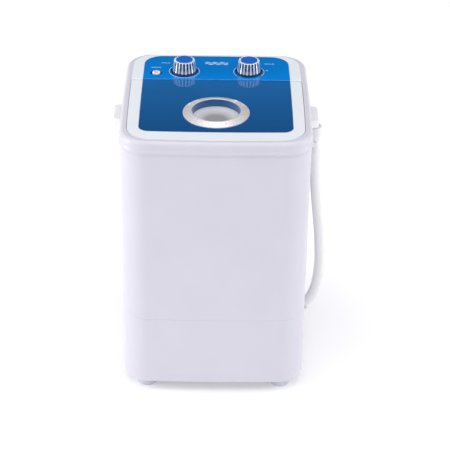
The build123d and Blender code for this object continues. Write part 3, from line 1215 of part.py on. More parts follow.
# Cuff: a sleeve over the hose's free end, with a short nose beyond it.
hose_end = hose_corners[-1] - hose_corners[-2]
cuff_plane = Plane(origin=HOSE_POINTS[-1], z_dir=hose_end)
with BuildPart() as drain_hose_cuff:
    with BuildSketch(cuff_plane.offset(-CUFF_GRIP)):
        Circle(HOSE_RADIUS + CUFF_WALL)
        Circle(HOSE_RADIUS, mode=Mode.SUBTRACT)
    extrude(amount=CUFF_GRIP)
    with BuildSketch(cuff_plane):
        Circle(HOSE_RADIUS + CUFF_WALL)
        Circle(HOSE_BORE, mode=Mode.SUBTRACT)
    extrude(amount=CUFF_NOSE)
drain_hose_cuff.part.label = "drain_hose_cuff"
export_step(drain_hose_cuff.part, "parts/drain_hose_cuff.step")

# Hose clip: a pad on the wall with two arms that open outwards round the hose.
last_run = hose_end
clip_share = (CLIP_Z - HOSE_POINTS[-2][2]) / last_run.Z
clip_center = hose_corners[-2] + last_run * clip_share
clip_inner = HOSE_RADIUS + CLIP_GAP
with BuildPart() as hose_clip:
    with BuildSketch(Plane.XY.offset(CLIP_Z - CLIP_HEIGHT / 2)):
        with Locations((body_side, clip_center.Y)):
            Rectangle(2 * CLIP_REACH, 2 * (clip_inner + CLIP_ARM))
        with Locations((clip_center.X, clip_center.Y)):
            Circle(clip_inner, mode=Mode.SUBTRACT)
    extrude(amount=CLIP_HEIGHT)
    add(body_core.part, mode=Mode.SUBTRACT)
hose_clip.part.label = "hose_clip"
export_step(hose_clip.part, "parts/hose_clip.step")

# ---- Cord gland ----
with BuildPart() as cord_gland:
    with Locations((GLAND_X, body_rear, GLAND_Z)):
        Cylinder(GLAND_FLANGE_RADIUS, GLAND_FLANGE, rotation=(-90, 0, 0), align=FROM_BOTTOM)
        Cone(GLAND_RADIUS, GLAND_BORE + GLAND_FLANGE, GLAND_NOSE, rotation=(-90, 0, 0), align=FROM_BOTTOM)
    add(body_core.part, mode=Mode.SUBTRACT)
    with Locations((GLAND_X, body_rear, GLAND_Z)):
        Cylinder(GLAND_RADIUS, WALL + FIT_GAP, rotation=(-90, 0, 0), align=FROM_TOP)
        Cylinder(GLAND_BORE, 2 * THROUGH, rotation=(-90, 0, 0), mode=Mode.SUBTRACT)
cord_gland.part.label = "cord_gland"
export_step(cord_gland.part, "parts/cord_gland.step")
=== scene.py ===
import json
from math import cos, pi, radians, sin
import bmesh
import bpy
from mathutils import Matrix, Vector


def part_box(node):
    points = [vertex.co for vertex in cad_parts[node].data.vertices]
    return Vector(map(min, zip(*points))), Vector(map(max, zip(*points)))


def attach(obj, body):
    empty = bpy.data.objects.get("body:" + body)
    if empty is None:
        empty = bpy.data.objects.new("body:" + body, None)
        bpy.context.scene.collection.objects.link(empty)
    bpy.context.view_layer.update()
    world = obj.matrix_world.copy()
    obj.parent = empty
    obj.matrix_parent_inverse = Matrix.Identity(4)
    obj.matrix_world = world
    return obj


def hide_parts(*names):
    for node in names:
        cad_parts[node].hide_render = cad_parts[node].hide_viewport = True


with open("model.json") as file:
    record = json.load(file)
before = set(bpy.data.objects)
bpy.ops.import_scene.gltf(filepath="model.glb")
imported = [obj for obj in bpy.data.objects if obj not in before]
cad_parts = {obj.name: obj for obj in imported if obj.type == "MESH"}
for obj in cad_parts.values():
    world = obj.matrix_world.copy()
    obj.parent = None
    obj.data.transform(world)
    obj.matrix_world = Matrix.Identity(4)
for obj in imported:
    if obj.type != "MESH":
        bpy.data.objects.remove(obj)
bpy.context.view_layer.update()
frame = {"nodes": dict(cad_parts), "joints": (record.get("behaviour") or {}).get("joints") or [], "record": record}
nodes = frame["nodes"]
joints = {joint["name"]: joint for joint in frame["joints"]}
scene = bpy.context.scene
MM = 0.001

# ---- Places taken from the frame ----
panel_low, panel_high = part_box("control_panel")
window_low, window_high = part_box("lid_window")
blue_top = panel_high.z
grip_low, grip_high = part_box("lid_grip_ring")
grip_center = (grip_low + grip_high) / 2
nozzle_low, nozzle_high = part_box("water_inlet_nozzle")
nozzle_center = (nozzle_low + nozzle_high) / 2
timer_axis = Vector(joints["timer_knob_turn"]["pos_m"])
selector_axis = Vector(joints["selector_knob_turn"]["pos_m"])
cap_low, cap_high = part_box("timer_knob_cap")
knob_low, knob_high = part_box("timer_knob")
FLANGE_TOP = knob_low.z + 2.2 * MM
KNOB_RIDGE_BASE = 24.0 * MM
KNOB_RIDGE_TOP = 20.5 * MM


# ---- Camera ----
CAMERA_PLACE = (0, -2.6843, 1.9135)
CAMERA_LENS = 123.2
CAMERA_PITCH = radians(31.376)
CAMERA_YAW = radians(-0.373)
CAMERA_ROLL = radians(0.607)


def make_camera():
    """A long lens in front of the machine, looking down on its lid."""
    camera_data = bpy.data.cameras.new("camera")
    camera_data.lens = CAMERA_LENS
    camera_data.sensor_width = 36.0
    camera_data.clip_end = 100.0
    camera = bpy.data.objects.new("camera", camera_data)
    scene.collection.objects.link(camera)
    tilt = Matrix.Rotation(pi / 2 - CAMERA_PITCH, 4, "X")
    turn = tilt @ Matrix.Rotation(CAMERA_YAW, 4, "Y") @ Matrix.Rotation(CAMERA_ROLL, 4, "Z")
    camera.matrix_world = Matrix.Translation(CAMERA_PLACE) @ turn
    scene.camera = camera


make_camera()

# ---- Drain hose ----
# The route is the CAD tube's, in metres.
HOSE_ROUTE = [
    (0.1930, 0.0300, 0.0660),
    (0.2050, 0.0300, 0.0825),
    (0.2145, 0.0295, 0.1090),
    (0.2205, 0.0280, 0.1590),
    (0.2170, 0.0250, 0.2400),
    (0.2045, 0.0180, 0.3400),
    (0.1975, 0.0110, 0.4300),
    (0.1960, 0.0080, 0.4970),
]
HOSE_DIAMETER = 0.022


def make_hose():
    """The drain hose: one smooth spline through its elbow, clip and cuff."""
    curve = bpy.data.curves.new("drain_hose_skin", "CURVE")
    curve.dimensions = "3D"
    curve.bevel_depth = 1.0  # the tube's radius is each point's own
    curve.bevel_resolution = 10
    curve.resolution_u = 24
    curve.use_fill_caps = True
    spline = curve.splines.new("NURBS")
    spline.points.add(len(HOSE_ROUTE) - 1)
    for point, place in zip(spline.points, HOSE_ROUTE):
        point.co = (*place, 1.0)
        point.radius = HOSE_DIAMETER / 2
    spline.order_u = 3
    spline.use_endpoint_u = True
    hose = bpy.data.objects.new("drain_hose_skin", curve)
    scene.collection.objects.link(hose)
    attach(hose, "root")
    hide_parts("drain_hose")
    return hose


hose = make_hose()


# ---- Materials ----
def new_material(name):
    """A material with its Principled shader and object coordinates."""
    material = bpy.data.materials.new(name)
    material.use_nodes = True
    tree = material.node_tree
    shader = tree.nodes["Principled BSDF"]
    coordinates = tree.nodes.new("ShaderNodeTexCoord")
    return material, tree, shader, coordinates.outputs["Object"]


def noise(tree, vector, scale, detail=2.0, roughness=0.5):
    """A noise texture's value, at so many features per metre."""
    node = tree.nodes.new("ShaderNodeTexNoise")
    node.inputs["Scale"].default_value = scale
    node.inputs["Detail"].default_value = detail
    node.inputs["Roughness"].default_value = roughness
    tree.links.new(vector, node.inputs["Vector"])
    return node.outputs["Fac"]


def spread(tree, value, low, high, source=(0.3, 0.7)):
    """A value stretched to a range."""
    node = tree.nodes.new("ShaderNodeMapRange")
    node.inputs["From Min"].default_value = source[0]
    node.inputs["From Max"].default_value = source[1]
    node.inputs["To Min"].default_value = low
    node.inputs["To Max"].default_value = high
    tree.links.new(value, node.inputs["Value"])
    return node.outputs["Result"]


def blend_colours(tree, factor, first, second):
    """A colour between two, by a factor."""
    node = tree.nodes.new("ShaderNodeMix")
    node.data_type = "RGBA"
    node.inputs["A"].default_value = (*first, 1.0)
    node.inputs["B"].default_value = (*second, 1.0)
    tree.links.new(factor, node.inputs["Factor"])
    return node.outputs["Result"]


def add_bump(tree, shader, height, distance, strength=1.0):
    """Relief of a given depth in metres."""
    node = tree.nodes.new("ShaderNodeBump")
    node.inputs["Distance"].default_value = distance
    node.inputs["Strength"].default_value = strength
    tree.links.new(height, node.inputs["Height"])
    tree.links.new(node.outputs["Normal"], shader.inputs["Normal"])


def plastic(name, first, second, roughness, grain=0.000008, coat=0.0, subsurface=0.0):
    """Moulded plastic: soft mottling, a fine grain and a slightly uneven gloss."""
    material, tree, shader, place = new_material(name)
    cloud = spread(tree, noise(tree, place, 14.0, 3.0), 0.0, 1.0)
    tree.links.new(blend_colours(tree, cloud, first, second), shader.inputs["Base Color"])
    gloss = spread(tree, noise(tree, place, 30.0, 2.0), roughness * 0.92, roughness * 1.08)
    tree.links.new(gloss, shader.inputs["Roughness"])
    add_bump(tree, shader, noise(tree, place, 420.0, 1.0), grain, 0.3)
    shader.inputs["Coat Weight"].default_value = coat
    shader.inputs["Coat Roughness"].default_value = 0.06
    shader.inputs["Subsurface Weight"].default_value = subsurface
    shader.inputs["Subsurface Radius"].default_value = (0.006, 0.006, 0.007)
    return material


def metal(name, colour, roughness, scale=(40.0, 40.0, 900.0), depth=0.00001):
    """Metal with a brushed grain."""
    material, tree, shader, place = new_material(name)
    mapping = tree.nodes.new("ShaderNodeMapping")
    mapping.inputs["Scale"].default_value = scale
    tree.links.new(place, mapping.inputs["Vector"])
    brushed = noise(tree, mapping.outputs["Vector"], 1.0, 4.0, 0.6)
    darker = tuple(part * 0.86 for part in colour)
    tree.links.new(blend_colours(tree, brushed, darker, colour), shader.inputs["Base Color"])
    tree.links.new(spread(tree, brushed, roughness * 0.8, roughness * 1.25), shader.inputs["Roughness"])
    add_bump(tree, shader, brushed, depth, 0.4)
    shader.inputs["Metallic"].default_value = 1.0
    return material


def rubber(name, colour):
    """Matte rubber with a pebbled grain."""
    material, tree, shader, place = new_material(name)
    mottle = noise(tree, place, 120.0, 4.0)
    paler = tuple(min(1.0, part * 1.25 + 0.01) for part in colour)
    tree.links.new(blend_colours(tree, mottle, colour, paler), shader.inputs["Base Color"])
    tree.links.new(spread(tree, mottle, 0.6, 0.8), shader.inputs["Roughness"])
    add_bump(tree, shader, noise(tree, place, 2200.0, 3.0), 0.00005, 0.6)
    return material


def window_blue():
    """Tinted window: clear and glossy, darker towards the front, with a little depth."""
    material, tree, shader, place = new_material("window_blue")
    split = tree.nodes.new("ShaderNodeSeparateXYZ")
    tree.links.new(place, split.inputs["Vector"])
    along = spread(tree, split.outputs["Y"], 0.0, 1.0, (window_low.y, window_high.y))
    tint = blend_colours(tree, along, (0.008, 0.084, 0.262), (0.014, 0.152, 0.43))
    cloud = spread(tree, noise(tree, place, 9.0, 2.0), 0.0, 0.25)
    mixed = tree.nodes.new("ShaderNodeMix")
    mixed.data_type = "RGBA"
    mixed.inputs["B"].default_value = (0.008, 0.09, 0.28, 1.0)
    tree.links.new(cloud, mixed.inputs["Factor"])
    tree.links.new(tint, mixed.inputs["A"])
    tree.links.new(mixed.outputs["Result"], shader.inputs["Base Color"])
    tree.links.new(spread(tree, noise(tree, place, 50.0), 0.03, 0.05), shader.inputs["Roughness"])
    add_bump(tree, shader, noise(tree, place, 22.0, 1.0), 0.00002, 0.3)
    shader.inputs["IOR"].default_value = 1.5
    shader.inputs["Transmission Weight"].default_value = 0.12
    shader.inputs["Coat Weight"].default_value = 0.6
    shader.inputs["Coat Roughness"].default_value = 0.02
    return material


def panel_gloss():
    """Bright blue gloss, a little paler towards the hinge."""
    material, tree, shader, place = new_material("panel_blue")
    split = tree.nodes.new("ShaderNodeSeparateXYZ")
    tree.links.new(place, split.inputs["Vector"])
    along = spread(tree, split.outputs["Y"], 0.0, 1.0, (panel_low.y, panel_high.y))
    near = blend_colours(tree, noise(tree, place, 8.0, 2.0), (0.0, 0.205, 0.66), (0.001, 0.222, 0.69))
    far = blend_colours(tree, noise(tree, place, 8.0, 2.0), (0.001, 0.165, 0.50), (0.002, 0.185, 0.54))
    tree.links.new(mix_linked(tree, along, near, far), shader.inputs["Base Color"])
    tree.links.new(spread(tree, noise(tree, place, 50.0), 0.05, 0.08), shader.inputs["Roughness"])
    add_bump(tree, shader, noise(tree, place, 30.0, 1.0), 0.00001, 0.3)
    shader.inputs["Specular IOR Level"].default_value = 0.4
    shader.inputs["Coat Weight"].default_value = 0.2
    shader.inputs["Coat Roughness"].default_value = 0.03
    return material


def hose_plastic():
    """Soft translucent hose: milky, with faint spiral banding and a satin skin."""
    material, tree, shader, place = new_material("hose_translucent")
    wave = tree.nodes.new("ShaderNodeTexWave")
    wave.wave_type = "BANDS"
    wave.bands_direction = "Z"
    wave.inputs["Scale"].default_value = 55.0
    wave.inputs["Distortion"].default_value = 0.6
    wave.inputs["Detail"].default_value = 1.0
    tree.links.new(place, wave.inputs["Vector"])
    band = spread(tree, wave.outputs["Fac"], 0.0, 1.0, (0.0, 1.0))
    milky = blend_colours(tree, band, (0.885, 0.885, 0.885), (0.915, 0.915, 0.91))
    tree.links.new(milky, shader.inputs["Base Color"])
    tree.links.new(spread(tree, noise(tree, place, 90.0), 0.28, 0.4), shader.inputs["Roughness"])
    add_bump(tree, shader, wave.outputs["Fac"], 0.00003, 0.3)
    shader.inputs["Transmission Weight"].default_value = 0.06
    shader.inputs["Subsurface Weight"].default_value = 0.6
    shader.inputs["Subsurface Radius"].default_value = (0.01, 0.01, 0.01)
    return material


def mix_linked(tree, factor, first, second):
    """A colour between two linked colours."""
    node = tree.nodes.new("ShaderNodeMix")
    node.data_type = "RGBA"
    tree.links.new(factor, node.inputs["Factor"])
    tree.links.new(first, node.inputs["A"])
    tree.links.new(second, node.inputs["B"])
    return node.outputs["Result"]


def height_of(tree, place):
    """The height of each point, in metres."""
    split = tree.nodes.new("ShaderNodeSeparateXYZ")
    tree.links.new(place, split.inputs["Vector"])
    return split.outputs["Z"]


def distance_from(tree, place, center):
    """How far each point lies from an upright axis."""
    flat = tree.nodes.new("ShaderNodeVectorMath")
    flat.operation = "MULTIPLY"
    flat.inputs[1].default_value = (1.0, 1.0, 0.0)
    tree.links.new(place, flat.inputs[0])
    reach = tree.nodes.new("ShaderNodeVectorMath")
    reach.operation = "DISTANCE"
    reach.inputs[1].default_value = (center.x, center.y, 0.0)
    tree.links.new(flat.outputs["Vector"], reach.inputs[0])
    return reach.outputs["Value"]


def knob_plating():
    """Bright plated ridges with painted shade in the grooves and a painted shadow on the flange at the knob's
    foot; the lower skirt is painted lighter.
    """
    material, tree, shader, place = new_material("knob_chrome")
    mirrored = tree.nodes.new("ShaderNodeVectorMath")
    mirrored.operation = "ABSOLUTE"
    tree.links.new(place, mirrored.inputs[0])
    reach = distance_from(tree, mirrored.outputs["Vector"], selector_axis)
    height = height_of(tree, place)
    ridge_at = spread(tree, height, KNOB_RIDGE_BASE, KNOB_RIDGE_TOP, (FLANGE_TOP, knob_high.z))
    depth = tree.nodes.new("ShaderNodeMath")
    depth.operation = "SUBTRACT"
    tree.links.new(reach, depth.inputs[0])
    tree.links.new(ridge_at, depth.inputs[1])
    ridge = spread(tree, depth.outputs["Value"], 0.0, 1.0, (-0.9 * MM, -0.15 * MM))
    # painted light: the skirt is lightened towards its foot and fades out higher up
    painted_skirt_light = spread(tree, height, 0.3, 0.0, (FLANGE_TOP + 2 * MM, knob_high.z - 12 * MM))
    lit = tree.nodes.new("ShaderNodeMath")
    lit.operation = "ADD"
    lit.use_clamp = True
    tree.links.new(ridge, lit.inputs[0])
    tree.links.new(painted_skirt_light, lit.inputs[1])
    smudge = noise(tree, place, 70.0, 3.0)
    bright = blend_colours(tree, smudge, (0.82, 0.88, 0.95), (0.95, 0.97, 1.0))
    # painted shade: the dark blue between the ridges stands in for shade in the grooves
    groove_painted_shade = blend_colours(tree, smudge, (0.01, 0.05, 0.14), (0.03, 0.10, 0.22))
    fluted = mix_linked(tree, lit.outputs["Value"], groove_painted_shade, bright)
    # painted shadow: the near-black, non-metallic band below FLANGE_TOP stands in for the shadow round the knob's
    # foot
    dark = blend_colours(tree, smudge, (0.002, 0.012, 0.045), (0.004, 0.02, 0.06))
    above = spread(tree, height, 0.0, 1.0, (FLANGE_TOP, FLANGE_TOP + 0.6 * MM))
    tree.links.new(mix_linked(tree, above, dark, fluted), shader.inputs["Base Color"])
    tree.links.new(spread(tree, smudge, 0.05, 0.10), shader.inputs["Roughness"])
    tree.links.new(spread(tree, above, 0.0, 0.9, (0.0, 1.0)), shader.inputs["Metallic"])
    add_bump(tree, shader, noise(tree, place, 300.0, 2.0), 0.00001, 0.3)
    return material


def ring_satin():
    """Satin silver with a very fine grain."""
    material, tree, shader, place = new_material("ring_silver")
    grain = noise(tree, place, 900.0, 3.0)
    cloud = noise(tree, place, 25.0, 2.0)
    silver = blend_colours(tree, cloud, (0.86, 0.835, 0.845), (0.93, 0.905, 0.915))
    tree.links.new(silver, shader.inputs["Base Color"])
    tree.links.new(spread(tree, grain, 0.24, 0.32), shader.inputs["Roughness"])
    add_bump(tree, shader, grain, 0.000004, 0.3)
    shader.inputs["Metallic"].default_value = 0.45
    shader.inputs["Coat Weight"].default_value = 0.3
    shader.inputs["Coat Roughness"].default_value = 0.1
    return material


def dish_plastic():
    """Pale dish with painted shading: greyer towards its middle as painted shade, paler at the rim as a painted
    sheen.
    """
    material, tree, shader, place = new_material("dish_grey")
    from_center = spread(tree, distance_from(tree, place, grip_center), 0.0, 1.0, (17 * MM, 36 * MM))
    mottle = noise(tree, place, 60.0, 3.0)
    # painted shading: the grey middle colour stands in for shade in the bowl's flat, the pale rim colour for the
    # sheen on its slopes
    middle = blend_colours(tree, mottle, (0.30, 0.29, 0.295), (0.345, 0.335, 0.34))
    rim = blend_colours(tree, mottle, (0.60, 0.59, 0.60), (0.66, 0.65, 0.66))
    tree.links.new(mix_linked(tree, from_center, middle, rim), shader.inputs["Base Color"])
    tree.links.new(spread(tree, mottle, 0.45, 0.55), shader.inputs["Roughness"])
    add_bump(tree, shader, noise(tree, place, 1200.0, 2.0), 0.00001, 0.3)
    shader.inputs["Coat Weight"].default_value = 0.08
    return material


WHITE_CASING = ((0.645, 0.620, 0.700), (0.660, 0.636, 0.714))
WHITE_DECK = ((0.80, 0.83, 0.875), (0.82, 0.85, 0.895))
materials = {
    "casing_white": plastic("casing_white", *WHITE_CASING, roughness=0.34, coat=0.15),
    "deck_white": plastic("deck_white", *WHITE_DECK, roughness=0.24, coat=0.3),
    "handle_white": plastic("handle_white", (0.84, 0.84, 0.86), (0.88, 0.88, 0.89), 0.35, coat=0.2),
    "panel_blue": panel_gloss(),
    "window_blue": window_blue(),
    "ring_silver": ring_satin(),
    "dish_grey": dish_plastic(),
    "knob_chrome": knob_plating(),
    "knob_cap_blue": plastic("knob_cap_blue", (0.01, 0.12, 0.50), (0.015, 0.15, 0.56),
                             0.16, 0.000005, coat=0.6),
    "steel": metal("steel", (0.60, 0.60, 0.61), 0.3),
    "switch_body": plastic("switch_body", (0.02, 0.02, 0.022), (0.035, 0.035, 0.037), 0.45),
    "nozzle_white": plastic("nozzle_white", (0.85, 0.85, 0.87), (0.9, 0.9, 0.91), 0.3),
    "duct_grey": plastic("duct_grey", (0.58, 0.58, 0.59), (0.66, 0.66, 0.67), 0.4),
    "hose_translucent": hose_plastic(),
    "cuff_white": plastic("cuff_white", (0.8, 0.8, 0.81), (0.86, 0.86, 0.86), 0.35),
    "tub_plastic": plastic("tub_plastic", (0.72, 0.74, 0.76), (0.78, 0.79, 0.81), 0.35, 0.00004),
    "basket_plastic": plastic("basket_plastic", (0.62, 0.72, 0.83), (0.68, 0.77, 0.87),
                              0.3, 0.00003, coat=0.2),
    "pulsator_plastic": plastic("pulsator_plastic", (0.05, 0.20, 0.52), (0.07, 0.25, 0.60),
                                0.3, 0.00003, coat=0.2),
    "rubber_black": rubber("rubber_black", (0.018, 0.018, 0.018)),
    "rubber_grey": rubber("rubber_grey", (0.28, 0.28, 0.29)),
    "housing_metal": metal("housing_metal", (0.5, 0.5, 0.52), 0.5, (400.0, 400.0, 400.0), 0.00008),
    "pulley_alloy": metal("pulley_alloy", (0.6, 0.61, 0.63), 0.34, (20.0, 20.0, 1200.0)),
    "motor_paint": plastic("motor_paint", (0.03, 0.033, 0.04), (0.05, 0.053, 0.06), 0.4, 0.00006),
    "plate_steel": metal("plate_steel", (0.52, 0.54, 0.56), 0.42, (220.0, 220.0, 220.0), 0.00003),
    "capacitor_shell": plastic("capacitor_shell", (0.8, 0.8, 0.77), (0.85, 0.85, 0.82), 0.3),
    "filter_blue": plastic("filter_blue", (0.12, 0.33, 0.66), (0.15, 0.38, 0.72), 0.35, 0.00005),
    "cover_grey": plastic("cover_grey", (0.55, 0.55, 0.57), (0.6, 0.6, 0.62), 0.45, 0.00005),
    "foot_plastic": rubber("foot_plastic", (0.52, 0.53, 0.60)),
    "print_white": plastic("print_white", (0.82, 0.86, 0.9), (0.88, 0.91, 0.94), 0.4, 0.000003),
    # painted shade: the recess cup's dark blue stands in for the shade inside the recess round the nozzle
    "recess_blue": plastic("recess_blue", (0.004, 0.05, 0.22), (0.006, 0.06, 0.26), 0.2, coat=0.3),
}

SHADE_OF = {"top_collar": "casing_white"}
for part in frame["record"]["subparts"]:
    node = nodes[part["node"]]
    node.data.materials.clear()
    node.data.materials.append(materials[SHADE_OF.get(part["node"], part["material_slot"])])
hose.data.materials.append(materials["hose_translucent"])


# ---- Mesh helpers ----
def finish_piece(mesh, name, material, body, bevel=0.0):
    """A bmesh turned into a piece that rides on a body."""
    bmesh.ops.recalc_face_normals(mesh, faces=mesh.faces)
    data = bpy.data.meshes.new(name)
    mesh.to_mesh(data)
    mesh.free()
    data.materials.append(materials[material])
    piece = bpy.data.objects.new(name, data)
    scene.collection.objects.link(piece)
    if bevel:
        rounding = piece.modifiers.new("rounding", "BEVEL")
        rounding.width = bevel
        rounding.segments = 3
        rounding.limit_method = "ANGLE"
    for face in data.polygons:
        face.use_smooth = True
    data.set_sharp_from_angle(angle=radians(35))
    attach(piece, body)
    return piece


def turn_profile(mesh, profile, center, start=0.0, sweep=360.0, segments=128):
    """Sweep a closed profile of (radius, height) points round an upright axis."""
    full = sweep >= 360.0
    count = segments if full else segments + 1
    rings = []
    for step in range(count):
        angle = radians(start + sweep * step / segments)
        ring = []
        for radius, height in profile:
            place = Vector((center.x + radius * cos(angle), center.y + radius * sin(angle), height))
            ring.append(mesh.verts.new(place))
        rings.append(ring)
    size = len(profile)
    pairs = list(zip(rings, rings[1:] + ([rings[0]] if full else [])))
    for first, second in pairs:
        for index in range(size):
            following = (index + 1) % size
            mesh.faces.new((first[index], first[following], second[following], second[index]))
    if not full:
        mesh.faces.new(rings[0])
        mesh.faces.new(list(reversed(rings[-1])))


def add_slab(mesh, outline, low, high):
    """A flat plate from a closed outline of (x, y) points."""
    bottom = [mesh.verts.new((x, y, low)) for x, y in outline]
    top = [mesh.verts.new((x, y, high)) for x, y in outline]
    mesh.faces.new(list(reversed(bottom)))
    mesh.faces.new(top)
    for index in range(len(outline)):
        following = (index + 1) % len(outline)
        mesh.faces.new((bottom[index], bottom[following], top[following], top[index]))


def bar_outline(center, length, width, angle, ends=6):
    """A bar with round ends, turned by angle degrees."""
    points = []
    half = length / 2 - width / 2
    for end in (1, -1):
        for step in range(ends + 1):
            around = radians(-90 + 180 * step / ends) + (0 if end > 0 else pi)
            points.append((end * half + width / 2 * cos(around), width / 2 * sin(around)))
    tilt = radians(angle)
    return [
        (center[0] + x * cos(tilt) - y * sin(tilt), center[1] + x * sin(tilt) + y * cos(tilt))
        for x, y in points
    ]


PRINT_THICKNESS = 0.12 * MM
print_low = blue_top
print_high = blue_top + PRINT_THICKNESS


# ---- Knobs ----
CROWN_PEAKS = 20
CROWN_RIM = 1.2 * MM
CROWN_THICKNESS = 0.5 * MM
CROWN_DROP = 3.0 * MM


def knob_crown(name, body, axis):
    """The white rim round a knob's blue cap, with a peak running down each ridge of the skirt."""
    mesh = bmesh.new()
    cap_radius = (cap_high.x - cap_low.x) / 2
    rim_radius = cap_radius + CROWN_RIM
    top = knob_high.z + CROWN_THICKNESS
    low = knob_high.z - 0.1 * MM
    turn_profile(mesh, [(cap_radius, low), (rim_radius, low), (rim_radius, top - 0.2 * MM),
                        (rim_radius - 0.3 * MM, top), (cap_radius, top)], axis, segments=160)
    half = radians(180 / CROWN_PEAKS) * 0.62
    for peak in range(CROWN_PEAKS):
        angle = radians(360 / CROWN_PEAKS * (peak + 0.5))

        def at(turn, radius, height):
            x = axis.x + radius * cos(angle + turn)
            y = axis.y + radius * sin(angle + turn)
            return mesh.verts.new((x, y, height))

        fall = (KNOB_RIDGE_BASE - KNOB_RIDGE_TOP) / (knob_high.z - FLANGE_TOP)
        tip_radius = KNOB_RIDGE_TOP + fall * CROWN_DROP + 0.3 * MM
        shoulder = KNOB_RIDGE_TOP + 0.35 * MM
        outer = [at(-half, rim_radius - 0.1 * MM, top - 0.1 * MM), at(-half * 0.8, shoulder, top - 0.2 * MM),
                 at(0, tip_radius, knob_high.z - CROWN_DROP), at(half * 0.8, shoulder, top - 0.2 * MM),
                 at(half, rim_radius - 0.1 * MM, top - 0.1 * MM)]
        inner = [at(-half, rim_radius - 0.1 * MM, low), at(-half * 0.8, shoulder - 0.5 * MM, low),
                 at(0, tip_radius - 0.5 * MM, knob_high.z - CROWN_DROP),
                 at(half * 0.8, shoulder - 0.5 * MM, low),
                 at(half, rim_radius - 0.1 * MM, low)]
        mesh.faces.new((outer[0], outer[1], outer[3], outer[4]))
        mesh.faces.new((outer[1], outer[2], outer[3]))
        mesh.faces.new((inner[4], inner[3], inner[1], inner[0]))
        mesh.faces.new((inner[3], inner[2], inner[1]))
        for index in range(5):
            following = (index + 1) % 5
            mesh.faces.new((outer[following], outer[index], inner[index], inner[following]))
    return finish_piece(mesh, f"{name}_knob_crown", "print_white", body)


for name, body, axis in (("timer", "timer_knob", timer_axis), ("selector", "selector_knob", selector_axis)):
    knob_crown(name, body, axis)


# ---- Printing on the blue panel ----
DIAL_RADIUS = 30.4 * MM
DIAL_LINE = 0.7 * MM


def dial_ring(name, axis, arcs):
    """Printed arcs round a knob."""
    mesh = bmesh.new()
    profile = [(DIAL_RADIUS - DIAL_LINE / 2, print_low), (DIAL_RADIUS + DIAL_LINE / 2, print_low),
               (DIAL_RADIUS + DIAL_LINE / 2, print_high), (DIAL_RADIUS - DIAL_LINE / 2, print_high)]
    for start, sweep in arcs:
        turn_profile(mesh, profile, axis, start, sweep, 96)
    return finish_piece(mesh, name, "print_white", "root")


dial_ring("timer_dial_print", timer_axis, [(-250, 320)])
dial_ring("selector_dial_print", selector_axis, [(-35, 70), (145, 70)])


MARK_LENGTH = 46 * MM
MARK_STROKE = 1.8 * MM
MARK_SWELL = 2.2 * MM
MARK_PITCH = 6.4 * MM
MARK_WAVES = 3


def water_mark():
    """A generic mark of two wavy lines in the middle of the panel."""
    mesh = bmesh.new()
    middle = (panel_low.y + panel_high.y) / 2 + 20 * MM
    steps = 96
    for row in (-0.5, 0.5):
        upper, lower = [], []
        for step in range(steps + 1):
            along = step / steps
            x = (along - 0.5) * MARK_LENGTH
            y = middle + row * MARK_PITCH + MARK_SWELL * sin(2 * pi * MARK_WAVES * along)
            upper.append((x, y + MARK_STROKE / 2))
            lower.append((x, y - MARK_STROKE / 2))
        for first, second in zip(range(steps), range(1, steps + 1)):
            outline = [lower[first], lower[second], upper[second], upper[first]]
            add_slab(mesh, outline, print_low, print_high)
    bmesh.ops.remove_doubles(mesh, verts=mesh.verts, dist=0.00001 * MM)
    return finish_piece(mesh, "wave_mark_print", "print_white", "root")


water_mark()


def label_lines(name, center, widths, pitch=2.4 * MM):
    """Short printed bars where a small caption sits."""
    mesh = bmesh.new()
    x = center[0] - sum(widths) / 2 - 0.8 * MM * (len(widths) - 1) / 2
    for width in widths:
        add_slab(mesh, bar_outline((x + width / 2, center[1]), width, 1.1 * MM, 0), print_low, print_high)
        x += width + 0.8 * MM
    return finish_piece(mesh, name, "print_white", "root")


label_lines("inlet_caption_print", (nozzle_center.x - 1 * MM, nozzle_center.y + 24 * MM),
            [5 * MM, 9 * MM, 4 * MM])
label_lines("timer_caption_print", (timer_axis.x - 38 * MM, timer_axis.y + 37 * MM), [4 * MM, 6 * MM, 5 * MM])
label_lines("selector_caption_print", (selector_axis.x + 42 * MM, selector_axis.y + 37 * MM),
            [7 * MM, 5 * MM, 6 * MM])
label_lines("selector_mode_print", (selector_axis.x + 36 * MM, selector_axis.y + 6 * MM), [5 * MM])


# ---- Inlet recess ----
CUP_OUTER = 11.9 * MM
CUP_INNER = 8.1 * MM
CUP_FLOOR = 0.5 * MM
CUP_LIP = 0.1 * MM  # above the panel


def inlet_recess():
    """The cup round the water nozzle, with a rolled lip; its dark blue is painted shade inside the recess."""
    mesh = bmesh.new()
    low = panel_low.z + 0.05 * MM
    profile = [
        (CUP_INNER, low), (CUP_OUTER, low), (CUP_OUTER, blue_top + CUP_LIP),
        (CUP_OUTER - 0.9 * MM, blue_top + CUP_LIP), (CUP_OUTER - 1.4 * MM, blue_top - 0.8 * MM),
        (CUP_OUTER - 2.2 * MM, low + CUP_FLOOR), (CUP_INNER, low + CUP_FLOOR),
    ]
    turn_profile(mesh, profile, nozzle_center, segments=96)
    return finish_piece(mesh, "inlet_recess_cup", "recess_blue", "root")


inlet_recess()


# ---- Stage and light ----
WORLD_STRENGTH = 0.86
FLOOR_GLOW = 0.16
FLOOR_HALF = 30.0


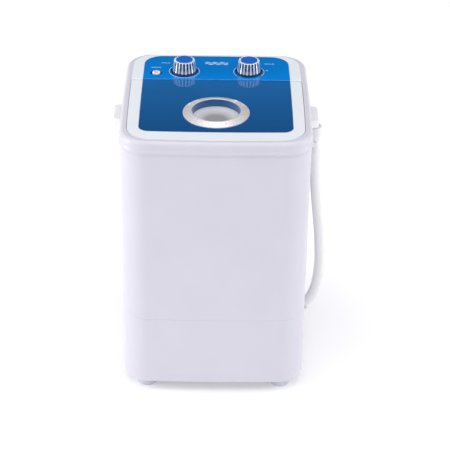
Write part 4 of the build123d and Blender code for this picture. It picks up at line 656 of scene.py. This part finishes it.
def make_floor():
    """A wide pale floor."""
    material, tree, shader, place = new_material("floor")
    tree.links.new(blend_colours(tree, noise(tree, place, 0.6), (0.9, 0.9, 0.905), (0.92, 0.92, 0.92)),
                   shader.inputs["Base Color"])
    shader.inputs["Roughness"].default_value = 0.8
    shader.inputs["Emission Color"].default_value = (1.0, 1.0, 1.0, 1.0)
    shader.inputs["Emission Strength"].default_value = FLOOR_GLOW
    mesh = bmesh.new()
    bmesh.ops.create_grid(mesh, x_segments=4, y_segments=4, size=FLOOR_HALF)
    data = bpy.data.meshes.new("floor")
    mesh.to_mesh(data)
    mesh.free()
    data.materials.append(material)
    floor = bpy.data.objects.new("floor", data)
    scene.collection.objects.link(floor)


def add_light(name, place, target, size, power, colour=(1.0, 1.0, 1.0)):
    """A soft area light that faces a point."""
    data = bpy.data.lights.new(name, "AREA")
    data.shape = "RECTANGLE"
    data.size, data.size_y = size
    data.energy = power
    data.color = colour
    light = bpy.data.objects.new(name, data)
    light.location = place
    light.rotation_mode = "QUATERNION"
    light.rotation_quaternion = (Vector(target) - Vector(place)).to_track_quat("-Z", "Y")
    scene.collection.objects.link(light)


FLAG_DIRECTION = (0.0, cos(radians(29)), sin(radians(29)))
FLAG_EDGE = (0.72, 0.93)


def light_scene():
    """White surroundings with a dark flag behind, a large box overhead and one at each side."""
    world = bpy.data.worlds.new("studio")
    world.use_nodes = True
    tree = world.node_tree
    background = tree.nodes["Background"]
    background.inputs["Strength"].default_value = WORLD_STRENGTH
    coordinates = tree.nodes.new("ShaderNodeTexCoord")
    toward = tree.nodes.new("ShaderNodeVectorMath")
    toward.operation = "DOT_PRODUCT"
    toward.inputs[1].default_value = FLAG_DIRECTION
    tree.links.new(coordinates.outputs["Generated"], toward.inputs[0])
    flag = spread(tree, toward.outputs["Value"], 0.0, 1.0, FLAG_EDGE)
    sky = blend_colours(tree, flag, (0.97, 0.975, 1.0), (0.03, 0.035, 0.045))
    tree.links.new(sky, background.inputs["Color"])
    scene.world = world
    scene.view_settings.view_transform = "Standard"
    middle = (0.0, 0.0, 0.35)
    add_light("overhead", (0.0, -0.2, 3.4), middle, (3.2, 3.2), 34.0)
    add_light("left", (-2.4, -0.3, 1.0), middle, (1.2, 1.8), 23.0)
    add_light("right", (2.6, -0.1, 1.0), middle, (1.2, 1.8), 14.0)


make_floor()
light_scene()
